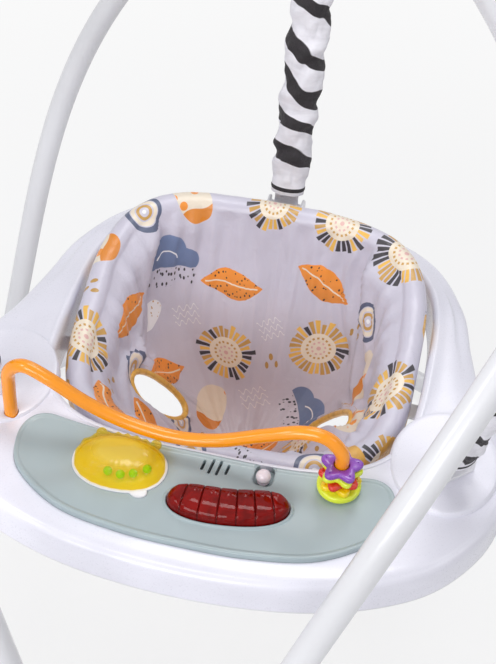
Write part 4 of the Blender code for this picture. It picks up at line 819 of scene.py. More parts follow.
class Growth:
    def __init__(self, name, inputs):
        self.tree = bpy.data.node_groups.new(name, "GeometryNodeTree")
        self.names = {}
        for label, kind, value in [("Geometry", "NodeSocketGeometry", None), *inputs]:
            made = self.tree.interface.new_socket(name=label, in_out="INPUT", socket_type=kind)
            if value is not None:
                made.default_value = value
            self.names[label] = made.identifier
        self.tree.interface.new_socket(name="Geometry", in_out="OUTPUT", socket_type="NodeSocketGeometry")
        self.start = self.tree.nodes.new("NodeGroupInput")
        self.end = self.tree.nodes.new("NodeGroupOutput")

    def given(self, label):
        return self.start.outputs[label]

    def node(self, kind, settings=None, sockets=None, out=0):
        made = self.tree.nodes.new(kind)
        for key, value in (settings or {}).items():
            setattr(made, key, value)
        for key, value in (sockets or {}).items():
            if isinstance(value, bpy.types.NodeSocket):
                self.tree.links.new(value, made.inputs[key])
            else:
                made.inputs[key].default_value = value
        return made.outputs[out]

    def close(self, shape):
        shape = self.node("GeometryNodeRealizeInstances", None, {0: shape})
        shape = self.node("GeometryNodeSetShadeSmooth", None, {0: shape})
        shape = self.node("GeometryNodeSetMaterial", None, {0: shape, "Material": self.given("Finish")})
        self.tree.links.new(shape, self.end.inputs[0])

    def grow(self, name, points, closed=False, aims=None, **values):
        # Along the points in order, or at each point with its aim
        data = bpy.data.meshes.new(name)
        edges = [] if aims else [(k, k + 1) for k in range(len(points) - 1)]
        if closed:
            edges.append((len(points) - 1, 0))
        data.from_pydata([tuple(p) for p in points], edges, [])
        if aims:
            aim = data.attributes.new("aim", "FLOAT_VECTOR", "POINT")
            aim.data.foreach_set("vector", [c for a in aims for c in a])
        source = newObject(name + "Path", data)
        step = source.modifiers.new("grow", "NODES")
        step.node_group = self.tree
        for label, value in values.items():
            step[self.names[label]] = value
        made = plainMesh(source)
        source.modifiers.clear()
        bpy.data.objects.remove(source)
        return newObject(name, made)


def tubeGrowth():
    growth = Growth("tubeAlongPath", [("Radius", "NodeSocketFloat", 0.01), ("Sides", "NodeSocketInt", 32),
                                      ("Finish", "NodeSocketMaterial", None)])
    line = growth.node("GeometryNodeMeshToCurve", None, {0: growth.given("Geometry")})
    ring = growth.node("GeometryNodeCurvePrimitiveCircle", {"mode": "RADIUS"},
                       {"Resolution": growth.given("Sides"), "Radius": growth.given("Radius")})
    tube = growth.node("GeometryNodeCurveToMesh", None, {"Curve": line, "Profile Curve": ring,
                                                         "Fill Caps": True})
    growth.close(tube)
    return growth


def stitchGrowth():
    growth = Growth("rowOfStitches", [("Spacing", "NodeSocketFloat", 0.003),
                                      ("Length", "NodeSocketFloat", 0.002),
                                      ("Thickness", "NodeSocketFloat", 0.0005),
                                      ("Finish", "NodeSocketMaterial", None)])
    line = growth.node("GeometryNodeMeshToCurve", None, {0: growth.given("Geometry")})
    marks = growth.node("GeometryNodeResampleCurve", {"mode": "LENGTH"},
                        {"Curve": line, "Length": growth.given("Spacing")})
    bead = growth.node("GeometryNodeMeshIcoSphere", None, {"Radius": 0.5, "Subdivisions": 1})
    ahead = growth.node("GeometryNodeInputTangent")
    aim = growth.node("FunctionNodeAlignRotationToVector", {"axis": "X"}, {"Vector": ahead})
    thick = growth.given("Thickness")
    size = growth.node("ShaderNodeCombineXYZ", None, {0: growth.given("Length"), 1: thick, 2: thick})
    growth.close(growth.node("GeometryNodeInstanceOnPoints", None,
                             {"Points": marks, "Instance": bead, "Rotation": aim, "Scale": size}))
    return growth


def screwGrowth():
    growth = Growth("screwsOnPoints", [("Head", "NodeSocketObject", None),
                                       ("Finish", "NodeSocketMaterial", None)])
    head = growth.node("GeometryNodeObjectInfo", None, {"Object": growth.given("Head")}, out="Geometry")
    way = growth.node("GeometryNodeInputNamedAttribute", {"data_type": "FLOAT_VECTOR"}, {"Name": "aim"})
    aim = growth.node("FunctionNodeAlignRotationToVector", {"axis": "Z"}, {"Vector": way})
    growth.close(growth.node("GeometryNodeInstanceOnPoints", None,
                             {"Points": growth.given("Geometry"), "Instance": head, "Rotation": aim}))
    return growth


tubes, stitches, screws = tubeGrowth(), stitchGrowth(), screwGrowth()
screwSize = {"radius": 0.0034, "rise": 0.0015, "slot": 0.0009}


def screwHead():
    # Shares of the radius and of the rise
    levels = ((1.0, -0.0006), (1.0, 0.0), (0.86, 0.62), (0.5, 0.95), (0.08, 1.0))
    rings = [[Vector((a * scale, b * scale, rise * screwSize["rise"] if rise > 0 else -0.0006))
              for a, b in circle(screwSize["radius"], 12)] for scale, rise in levels]
    head = newObject("screwHead", loft("screwHead", rings))
    slot, long = screwSize["slot"] / 2, screwSize["radius"] * 0.62
    cross = []
    for a, b in ((slot, long), (long, slot)):
        outline = [(-a, -b), (a, -b), (a, b), (-a, b)]
        cross.append(cut(prism(outline, screwSize["rise"] * 0.35, 0.01, Vector())))
    return combine(head, cross)


screwModel = screwHead()
print("growth trees made")


def setScrews(name, body, spots, aims):
    piece = screws.grow(name, spots, aims=aims, Head=screwModel, Finish=finishes["spring_steel"])
    place(piece, body, "spring_steel")


def sew(name, row, spacing, length, slot, finish, closed=False):
    piece = stitches.grow(name, row, closed=closed, Spacing=spacing, Length=length, Thickness=0.0005,
                          Finish=finishes[finish])
    place(piece, "tray", slot, finish=finish)


# Stand

stand = {"floorRing": 0.430, "hubDistance": 0.330, "hubHeight": 0.815, "tubeRadius": 0.0125, "legLean": 12.0,
         "socketSlope": 42.0, "socketDepth": 0.042, "hubHalfSpan": 0.066, "hubHalfDepth": 0.026,
         "hubHalfHeight": 0.030, "hubEnd": 0.0195, "hubCavity": 0.014, "floorTubeHeight": 0.024,
         "footHalfAngle": 11.0, "socketEnd": 5.0, "socketMouth": 12.5, "footHalfWidth": 0.031,
         "footHalfHeight": 0.021, "legSpread": 0.030, "legBottom": 0.050, "bossTop": 0.100,
         "bossWall": 0.0065, "hubSag": 0.62, "hubSteps": 41, "partingWidth": 0.0005, "partingDepth": 0.0009,
         "pinRadius": 0.003, "hangerDrop": 0.006}
bore = stand["tubeRadius"] + gap * 1.4          # of every hole that takes a tube
hubAngles = {"rear": 90.0, "left": 210.0, "right": 330.0}
footAngles = {"front": 270.0, "rear_right": 30.0, "rear_left": 150.0}


def hubPlace(angle):
    return Vector((0, standY, stand["hubHeight"])) + outward(angle) * stand["hubDistance"]


def footPlace(angle):
    return Vector((0, standY, 0)) + outward(angle) * stand["floorRing"]


def floorArc(start, end, steps, height):
    return [Vector((0, standY, height)) + outward(start + (end - start) * k / steps) * stand["floorRing"]
            for k in range(steps + 1)]


def hubDrop():
    # How far the housing's ends hang below its middle
    return stand["hubHalfSpan"] * tan(radians(stand["socketSlope"])) * stand["hubSag"]


def hubSocket(hubAngle, side):
    tangent = up.cross(outward(hubAngle)) * side
    slope = radians(stand["socketSlope"])
    way = tangent * cos(slope) - up * sin(slope)
    mouth = hubPlace(hubAngle) + tangent * stand["hubHalfSpan"] - up * hubDrop()
    return mouth, mouth - way * stand["socketDepth"], way


def footSocketAxis(footAngle, hubAngle):
    foot = footPlace(footAngle)
    tangent = up.cross(outward(footAngle))
    towards = hubPlace(hubAngle) - foot
    side = 1 if tangent.dot(towards) > 0 else -1
    level = Vector((towards.x, towards.y, 0)).normalized()
    lean = radians(stand["legLean"])
    start = foot + tangent * side * stand["legSpread"] + up * stand["legBottom"]
    return start, level * sin(lean) + up * cos(lean)


def legPath(footAngle, hubAngle, steps=48):
    start, startWay = footSocketAxis(footAngle, hubAngle)
    tangent = up.cross(outward(hubAngle))
    side = 1 if tangent.dot(start - hubPlace(hubAngle)) > 0 else -1
    mouth, end, way = hubSocket(hubAngle, side)
    first = start + startWay * (stand["bossTop"] - stand["legBottom"] + 0.01)
    last = mouth + way * 0.01
    reach = (last - first).length * 0.42
    path = [start]
    for k in range(steps):
        t = k / (steps - 1)
        a, b = first + startWay * reach, last + way * reach
        path.append(first * (1 - t) ** 3 + a * 3 * t * (1 - t) ** 2 + b * 3 * t * t * (1 - t) + last * t ** 3)
    path.append(end + way * gap * 2)
    return path


def buildTubes():
    legs = {"rear_arch_right_tube": ("rear_right", "rear"), "rear_arch_left_tube": ("rear_left", "rear"),
            "left_arch_rear_tube": ("rear_left", "left"), "left_arch_front_tube": ("front", "left"),
            "right_arch_front_tube": ("front", "right"), "right_arch_rear_tube": ("rear_right", "right")}
    paths = {node: legPath(footAngles[foot], hubAngles[hub]) for node, (foot, hub) in legs.items()}
    floors = {"floor_tube_rear": ("rear_right", "rear_left"), "floor_tube_left": ("rear_left", "front"),
              "floor_tube_right": ("front", "rear_right")}
    for node, (first, second) in floors.items():
        start = footAngles[first]
        end = footAngles[second] + (360 if footAngles[second] < start else 0)
        paths[node] = floorArc(start + stand["socketEnd"], end - stand["socketEnd"], 72,
                               stand["floorTubeHeight"])
    for node, path in paths.items():
        piece = tubes.grow(inWords("bent", node), path, Radius=stand["tubeRadius"], Sides=32,
                           Finish=finishes["white_steel"])
        place(piece, "frame", "white_steel", node)


def footSection(width, height, low):
    # Half of the section, as (height, across), from the crown to the sole
    half = [(height, 0.0), (height * 0.985, width * 0.30), (height * 0.90, width * 0.66),
            (height * 0.66, width * 0.90), (height * 0.25, width * 0.995), (-low * 0.35, width),
            (-low * 0.80, width), (-low * 0.96, width - 0.0012), (-low, width - 0.004), (-low, width * 0.4)]
    return half + [(-low, -width * 0.4)] + [(upward, -across) for upward, across in reversed(half[1:-1])]


def buildFeet():
    tall = stand["bossTop"] - stand["legBottom"]
    rounded = ((1.0, 0.0035), (1.0, 0.0012), (0.994, 0.0002))       # how the block's ends draw in
    for label, angle in footAngles.items():
        spots = [(-s, shrink) for s, shrink in rounded]
        spots += [(2 * k / 44 - 1, 0.0) for k in range(1, 44)]
        spots += [(s, shrink) for s, shrink in reversed(rounded)]
        sections, path = [], []
        for s, shrink in spots:
            fade = abs(s) ** 3
            sections.append(footSection(stand["footHalfWidth"] - 0.008 * fade - shrink,
                                        stand["footHalfHeight"] - 0.004 * fade - shrink,
                                        stand["footHalfHeight"]))
            spot = angle + stand["footHalfAngle"] * s
            path.append(floorArc(spot, spot, 1, stand["footHalfHeight"])[0])
        foot = newObject(inWords("footBlock", label), loft("foot", uprightRings(path, sections)))
        hubs = [h for h in hubAngles.values() if abs((h - angle + 180) % 360 - 180) < 90]
        axes = [footSocketAxis(angle, h) for h in hubs]
        steps = []
        for start, way in axes:
            # A boss that flares into the block and is rounded at its top
            flare = ((-0.018, 0.007), (-0.010, 0.0045), (0.000, 0.0022), (0.010, 0.0006), (tall - 0.006, 0.0),
                     (tall - 0.0022, -0.0002), (tall - 0.0006, -0.0010), (tall, -0.0025))
            rings = [circle(stand["tubeRadius"] + stand["bossWall"] + extra, 40) for along, extra in flare]
            steps.append(fuse(loft("boss", sweepRings([start + way * along for along, extra in flare],
                                                      rings))))
        for start, way in axes:
            steps.append(cut(cylinderBetween(start - way * gap * 2, start + way * (tall + 0.02), bore)))
        for side in (-1, 1):
            end, mouth = (floorArc(angle + side * a, angle + side * a, 1, stand["floorTubeHeight"])[0]
                          for a in (stand["socketEnd"], stand["socketMouth"]))
            steps.append(cut(cylinderBetween(end + (end - mouth).normalized() * 0.002,
                                             mouth + (mouth - end).normalized() * 0.01, bore)))
        combine(foot, steps)
        place(foot, "frame", "grey_green_plastic", "foot_socket_" + label, angle=32)
        spots, aims = [], []
        for start, way in axes:
            inward = -outward(angle)
            inward = (inward - way * inward.dot(way)).normalized()
            out = stand["tubeRadius"] + stand["bossWall"] + 0.0001
            spots.append(start + way * (tall * 0.55) + inward * out)
            aims.append(inward)
        setScrews(inWords("footScrews", label), "frame", spots, aims)


def uprightRings(path, sections):
    # Every ring keeps upright and squared to the floor ring
    rings = []
    for here, section in zip(path, sections):
        out = Vector((here.x, here.y - standY, 0)).normalized()
        rings.append([here + up * a + out * b for a, b in section])
    return rings


def hubSection(s):
    # Centre below the hub, half height and half depth, s from -1 to 1 across the housing
    swell = 1 - ease(abs(s) * 1.15)
    height = stand["hubEnd"] + (stand["hubHalfHeight"] - stand["hubEnd"]) * swell
    depth = stand["hubEnd"] + (stand["hubHalfDepth"] - stand["hubEnd"]) * swell
    return hubDrop() * abs(s) ** 1.6, height, depth


def buildHubs():
    for label, angle in hubAngles.items():
        hub, out = hubPlace(angle), outward(angle)
        tangent = up.cross(out)
        steps = stand["hubSteps"]
        path, sections = [], []
        for k in range(steps + 1):
            s = 2 * k / steps - 1
            drop, height, depth = hubSection(s)
            path.append(hub + tangent * (stand["hubHalfSpan"] * s) - up * drop)
            trim = 0.0016 if k in (0, steps) else 0.0
            sections.append(superEllipse(depth - trim, height - trim, 2.8, 56))
        housing = newObject("hubHousing" + label.title(), loft("hub", sweepRings(path, sections, side=out)))
        cuts = []
        for side in (-1, 1):
            mouth, end, way = hubSocket(angle, side)
            cuts.append(cut(cylinderBetween(end, mouth + way * 0.04, bore)))
        inner, half = stand["hubHalfDepth"] - 0.004, stand["hubCavity"]
        corners = ((-inner, -half), (inner, -half), (inner, half), (-inner, half))
        block = [[hub + out * a + tangent * b + up * z for a, b in corners]
                 for z in (-0.06, stand["hubHalfHeight"] * 0.42)]
        cuts.append(cut(loft("cavity", block)))
        pin = hub - up * stand["hangerDrop"]
        head = pin - out * (stand["hubHalfDepth"] + 0.001)
        tip = pin + out * (stand["hubHalfDepth"] - 0.0015)
        cuts.append(cut(cylinderBetween(head - out * 0.01, tip + out * gap, stand["pinRadius"] + gap)))
        cuts.append(cut(partingLine(hub, tangent, out)))
        combine(housing, cuts)
        place(housing, "frame", "grey_green_plastic", "hub_housing_" + label, angle=32)
        spots = []
        for side in (-1, 1):
            for s in (0.42, 0.80):
                drop, height, depth = hubSection(s)
                crown = hub + tangent * (stand["hubHalfSpan"] * s * side) - up * drop
                spots.append(crown - out * (depth - 0.0002))
        setScrews("hubScrews" + label.title(), "frame", spots, [-out] * len(spots))
        rounds = ((-0.0020, 0.0042), (-0.0017, 0.0050), (-0.0009, 0.0055), (-0.0003, 0.0055),
                  (-0.00029, 0.0030))
        path = [head + out * along for along, radius in rounds] + [tip]
        sections = [circle(radius, 32) for along, radius in rounds] + [circle(stand["pinRadius"], 32)]
        piece = newObject("hangerPin" + label.title(), loft("pin", sweepRings(path, sections, side=up)))
        place(piece, "frame", "spring_steel", "hanger_pin_" + label)


def partingLine(hub, tangent, out):
    # The line that runs over the housing's crown
    width, deep = stand["partingWidth"], stand["partingDepth"]
    rings = []
    for k in range(41):
        s = 2 * k / 40 - 1
        drop, height, depth = hubSection(s)
        here = hub + tangent * (stand["hubHalfSpan"] * s * 1.01) - up * drop
        corners = ((-width, height - deep), (width, height - deep), (width, height + 0.004),
                   (-width, height + 0.004))
        rings.append([here + out * a + up * b for a, b in corners])
    return loft("groove", rings)


buildTubes()
buildFeet()
buildHubs()
print("stand built")


# Tray

tray = {"halfWidth": 0.181, "rear": 0.168, "front": 0.154, "squareness": 3.6,
        "outline": ((0, 0.207), (0.095, 0.201), (0.168, 0.166), (0.208, 0.105), (0.224, 0.045),
                    (0.242, -0.015), (0.268, -0.070), (0.278, -0.120), (0.262, -0.180),
                    (0.212, -0.238), (0.120, -0.277), (0, -0.290)),
        "stations": 216, "wall": 0.003, "depth": 0.044, "base": 0.003, "padTop": 0.002, "post": 0.004,
        "posts": ((-0.150, -0.180), (0.150, -0.195), (-0.100, -0.240), (0.105, -0.241)),
        "screwStations": (4, 22, 40, 60, 86, 108, 130, 156, 176, 194),
        "frontPad": (0.215, -0.112, 0.049, 0.060), "rearPad": (0, 0.188, 0.034, 0.0155)}
panel = {"outline": ((0, -0.1600), (0.070, -0.1595), (0.128, -0.1535), (0.158, -0.1500), (0.174, -0.161),
                     (0.178, -0.185), (0.166, -0.218), (0.120, -0.250), (0.060, -0.2625), (0, -0.265)),
         "bottom": -0.0045, "top": 0.0010, "bead": 0.0012, "slotX": (-0.0017, 0.0059, 0.0132, 0.0211),
         "slotY": -0.1733, "slotLengths": (0.0125, 0.018, 0.018, 0.0125), "slotWidth": 0.0028,
         "slotSlant": 7.0, "recess": (0.0551, -0.1712, 0.0092, 0.0116), "knobRadius": 0.0077,
         "knobHeight": 0.0035, "knobStem": 0.0028, "knobScale": 0.91}
battery = {"x": 0.0, "y": -0.223, "cellLength": 0.050, "cellPitch": 0.0152, "cells": 3, "endRoom": 0.012,
           "sideRoom": 0.006, "corner": 0.003, "lid": 0.0024}
beads = {"tubeRadius": 0.0065, "axis": (0.124, -0.168), "star": 0.0168, "point": 0.0033, "starHeight": 0.0062,
         "ring": 0.0205, "ringHeight": 0.0072, "play": 0.0008, "pit": 0.0009,
         "route": ((0.124, -0.168, -0.012), (0.124, -0.168, 0.030), (0.1225, -0.168, 0.050),
                   (0.108, -0.168, 0.066), (0.085, -0.168, 0.067), (0.050, -0.168, 0.052),
                   (0.009, -0.168, 0.033), (-0.030, -0.168, 0.026), (-0.073, -0.168, 0.032),
                   (-0.113, -0.168, 0.048), (-0.149, -0.167, 0.070), (-0.173, -0.164, 0.077),
                   (-0.189, -0.160, 0.062), (-0.192, -0.158, 0.036), (-0.192, -0.158, -0.012))}


def openingPoint(angle):
    c, s = cos(angle), sin(angle)
    reach = superReach(c, s, tray["halfWidth"], tray["rear"] if s > 0 else tray["front"], tray["squareness"])
    return Vector((reach * c, reach * s, 0))


def trayStations():
    outline = [(p.x, p.y) for p in mirroredOutline(tray["outline"], 10)]
    found = []
    for k in range(tray["stations"]):
        angle = 2 * pi * k / tray["stations"]
        inner = openingPoint(angle)
        outer = Vector((cos(angle), sin(angle), 0)) * polarReach(outline, angle)
        found.append((inner, outer))
    return found


trayEdges = trayStations()


def trayLoft(name, profile):
    # profile gives (distance from the opening, height) points for a deck of this width
    rings = []
    for inner, outer in trayEdges:
        way = (outer - inner).normalized()
        rings.append([trayOrigin + inner + way * d + up * z for d, z in profile((outer - inner).length)])
    return loft(name, rings, loop=True)


def deckProfile(width):
    depth, wall = tray["depth"], tray["wall"]
    crown = ((0, -0.0085), (0.0002, -0.0045), (0.0016, -0.0012), (0.0040, 0.0006), (0.0072, 0.0010),
             (0.014, -0.0008), (width * 0.55, -0.002), (width - 0.014, -0.0050), (width - 0.0052, -0.0084),
             (width - 0.0014, -0.0122), (width, -0.0175))
    points = [(0, -depth), (0, -depth * 0.6), (0, -0.014)]
    points += [(p.x, p.y) for p in smoothOpen([(x, y, 0) for x, y in crown], 4)]
    points += [(width, -depth * 0.7), (width, -depth), (width - wall, -depth), (width - wall, -0.018),
               (width - 0.015, -0.0084), (width * 0.55, -0.005), (0.007, -0.005), (wall, -depth)]
    return points


def baseProfile(width):
    top = -tray["depth"] - gap
    low = top - tray["base"]
    return [(0, top), (width - 0.0065, top), (width - 0.0065, top + 0.010), (width - 0.0033, top + 0.010),
            (width - 0.0033, top), (width, top), (width, low + 0.0016), (width - 0.0006, low + 0.0006),
            (width - 0.002, low), (0.002, low), (0.0006, low + 0.0006), (0, low + 0.0016)]


def ovalPad(x, y, halfA, halfB):
    top = tray["padTop"]
    levels = ((0.0036, -0.011), (0.0026, top - 0.0040), (0.0016, top - 0.0018), (0.0006, top - 0.0005),
              (-0.0008, top), (-0.004, top + 0.00005))
    def outline(grow):
        return moved(superEllipse(halfA + grow, halfB + grow, 2, 96), x, y)

    return loft("pad", layers(outline, levels))


def panelOutline(steps=9):
    return [(p.x, p.y) for p in mirroredOutline(panel["outline"], steps)]


def rectangle(cx, cy, sx, sy, corner, steps=6):
    points = []
    for k, (a, b) in enumerate(((1, 1), (-1, 1), (-1, -1), (1, -1))):
        for n in range(steps + 1):
            turn = pi / 2 * (k + n / steps)
            points.append((cx + a * (sx / 2 - corner) + corner * cos(turn),
                           cy + b * (sy / 2 - corner) + corner * sin(turn)))
    return points


def tubeHole(x, y):
    return through(moved(circle(beads["tubeRadius"] + gap * 2, 48), x, y))


def buildDeck():
    deck = newObject("deckShell", trayLoft("deck", deckProfile))
    x, y, a, b = tray["frontPad"]
    steps = [fuse(ovalPad(*spot)) for spot in ((x, y, a, b), (-x, y, a, b), tray["rearPad"])]
    steps += [through(offsetOutline(panelOutline(), gap)), tubeHole(*beads["route"][-1][:2])]
    combine(deck, steps)
    place(deck, "tray", "pale_plastic", "tray_deck", angle=30)


def buildUnderside():
    base = newObject("undersideShell", trayLoft("base", baseProfile))
    cx, cy, corner = battery["x"], battery["y"], battery["corner"]
    sx = battery["cellLength"] + battery["endRoom"]
    sy = battery["cellPitch"] * battery["cells"] + battery["sideRoom"]
    steps = [cut(prism(rectangle(cx, cy, sx, sy, corner), -0.06, -0.03))]
    for x, y in tray["posts"]:
        steps.append(fuse(prism(moved(circle(tray["post"], 24), x, y), -0.0458, panel["bottom"] - gap)))
    combine(base, steps)
    place(base, "tray", "white_plastic", "tray_base", angle=30)
    outline = rectangle(cx, cy, sx - 2 * gap, sy - 2 * gap, corner - 0.0002)
    door = newObject("batteryLid", prism(outline, -0.0473, -0.0473 + battery["lid"]))
    grip = [rectangle(cx + k * 0.0034, cy - sy / 2 + 0.010, 0.0014, 0.011, 0.0006) for k in range(-3, 4)]
    combine(door, [cut(prism(groove, -0.05, -0.0468)) for groove in grip])
    place(roundEdges(door, 0.0003, 2), "tray", "white_plastic", "battery_door", angle=30)
    spots, low = [], -tray["depth"] - gap - tray["base"]
    for k in tray["screwStations"]:
        inner, outer = trayEdges[k]
        spots.append(trayOrigin + inner.lerp(outer, 0.72) + up * (low + 0.0002))
    spots.append(onTray(cx, cy + sy / 2 - 0.006, low + 0.0002))
    setScrews("undersideScrews", "tray", spots, [-up] * len(spots))


def lensPoint(along, across):
    # From the lens's own bent axis to the tray
    bend = lens["bend"]
    turn = along / bend
    x = (bend - across) * sin(turn)
    y = -(bend - across) * cos(turn) + bend
    y -= bend * (1 - cos(lens["length"] / 2 / bend)) * 0.5
    c, s = cos(radians(lens["turn"])), sin(radians(lens["turn"]))
    return lens["centre"][0] + x * c - y * s, lens["centre"][1] + x * s + y * c


def lensHalfWidth(along, inset=0.0):
    share = min(abs(along) / (lens["length"] / 2 - inset), 0.995)
    return (lens["halfWidth"] - inset) * (1 - share ** 4) ** 0.5


def lensStations(inset=0.0):
    end = lens["length"] / 2 - inset
    marks = [end * k / 170 for k in range(171)]
    near = [end - d for d in (0.0, 0.0004, 0.0009, 0.0016, 0.0026, 0.004)]
    half = sorted(set([round(m, 6) for m in marks if m < end - 0.0045] + [round(m, 6) for m in near]))
    return [-m for m in reversed(half[1:])] + half


def lensOutline(grow):
    upper, lower = [], []
    for along in lensStations():
        width = lensHalfWidth(along)
        upper.append(lensPoint(along, width))
        lower.append(lensPoint(along, -width))
    return offsetOutline(upper + lower[::-1], grow)


def lensBody(inset, top, bottom, groove):
    end = lens["length"] / 2 - inset
    pitch, last = lens["length"] / lens["segments"], lens["segments"] // 2
    cross = 52
    rings = []
    for along in lensStations(inset):
        share = min(abs(along) / end, 0.995)
        width = lensHalfWidth(along, inset)
        height = (top - 0.004) * (1 - share ** 7) ** 0.42
        nearest = (round(along / pitch - 0.5) + 0.5) * pitch
        off = abs(along - nearest)
        inside = ease((end - abs(along)) / 0.006)
        cutIn = abs(nearest) < end - 0.004
        dip = groove * fadeOut((off / lens["grooveWidth"]) ** 2) * inside if cutIn else 0.0
        crown = groove * 0.22 * (1 - min(1.0, off / (pitch / 2)) ** 0.7) * inside
        middle = min(max(round(along / pitch), -last), last) * pitch
        ring = [onTray(*lensPoint(along, -width), bottom)]
        for k in range(cross + 1):
            a = pi - pi * k / cross
            rise = max(1 - abs(cos(a)) ** 3.0, 0.0) ** (1 / 2.6)
            slim = (width - (dip + crown) * 0.5 * rise)
            away = hypot(along - middle, cos(a) * width - lens["studAcross"])
            stud = lens["stud"] * groove * fadeOut((away / lens["studSize"]) ** 4)
            rounded = max(height - dip - crown + stud, 0.0008) * rise
            ring.append(onTray(*lensPoint(along, cos(a) * slim), 0.002 + rounded))
        ring.append(onTray(*lensPoint(along, width), bottom))
        rings.append(ring)
    return loft("lensBody", rings)


def rattleReach(angle):
    return superReach(cos(angle), sin(angle), rattle["halfWidth"], rattle["halfLength"], rattle["squareness"])


def rattleOutline(grow, scale=1.0, wave=1.0, tab=False, sides=180):
    points = []
    for k in range(sides):
        angle = 2 * pi * k / sides
        reach = rattleReach(angle)
        reach -= rattle["lobeDepth"] * (0.5 - 0.5 * cos(angle * rattle["rays"])) ** 0.7 * wave
        if tab:
            away = abs((angle * 180 / pi - rattle["tabAngle"] + 180) % 360 - 180) / rattle["tabWidth"]
            reach += rattle["tabRise"] * max(0.0, 1 - away * away) ** 0.5
        reach = reach * scale + grow
        points.append((rattle["centre"][0] + reach * cos(angle), rattle["centre"][1] + reach * sin(angle)))
    return points


def rattleBaseOutline(grow):
    return rattleOutline(rattle["baseRim"] + grow, wave=0.0, tab=True)


def speakerSlot(x, length):
    slant, radius = radians(panel["slotSlant"]), panel["slotWidth"] / 2
    half = length / 2 - radius
    shape = []
    for end in (1, -1):
        for n in range(9):
            turn = pi * n / 8 + (0 if end == 1 else pi)
            a, b = radius * cos(turn), end * half + radius * sin(turn)
            shape.append((x + a * cos(slant) + b * sin(slant),
                          panel["slotY"] - a * sin(slant) + b * cos(slant)))
    return through(shape)


def buildPanel():
    outline = panelOutline()
    top, bead = panel["top"], panel["bead"]
    levels = ((0, panel["bottom"]), (0, top - 0.0010), (-0.0002, top + 0.0002), (-0.0007, top + bead * 0.7),
              (-0.0014, top + bead * 0.97), (-0.0022, top + bead), (-0.0031, top + bead * 0.97),
              (-0.0040, top + bead * 0.7), (-0.0048, top + bead * 0.25), (-0.0056, top + bead * 0.04),
              (-0.0066, top))
    face = newObject("toyPanelFace", loft("panel", layers(lambda grow: offsetOutline(outline, grow), levels)))
    lip, rise = lens["lipWidth"], lens["lipHeight"]
    lipLevels = ((0, -0.002), (lip + 0.0012, -0.002), (lip + 0.0012, top + 0.0001),
                 (lip + 0.0004, top + rise * 0.18), (lip, top + rise * 0.5), (lip * 0.82, top + rise * 0.82),
                 (lip * 0.5, top + rise), (lip * 0.2, top + rise * 0.9), (0, top + rise * 0.6))
    lipRings = layers(lambda grow: lensOutline(gap + 0.0004 + grow), lipLevels)
    rx, ry, ra, rb = panel["recess"]

    def recess(grow):
        return moved(superEllipse(ra + grow, rb + grow, 4, 64), rx, ry)

    funnel = ((-0.001, top - 0.0012), (0.0002, top - 0.0008), (0.0014, top + 0.0003), (0.0022, top + 0.006))
    steps = [fuse(loft("lensLip", lipRings, loop=True)), through(lensOutline(gap + 0.0002)),
             through(recess(0)), cut(loft("recessEdge", layers(recess, funnel))),
             cut(prism(rattleBaseOutline(gap), top - rattle["seatDepth"], 0.02)), tubeHole(*beads["axis"])]
    steps += [speakerSlot(x, length) for x, length in zip(panel["slotX"], panel["slotLengths"])]
    combine(face, steps)
    place(face, "tray", "grey_green_plastic", "toy_panel", angle=28)


def buildLamp():
    wall, top, low = lens["wall"] + lens["groove"], lens["height"], lens["bottom"]
    shell = newObject("lampLensShell", lensBody(0, top, low, lens["groove"]))
    combine(shell, [cut(lensBody(wall, top - lens["wall"] - lens["groove"], low - 0.01, 0.0))])
    place(shell, "tray", "red_lens", "lamp_lens", angle=45)


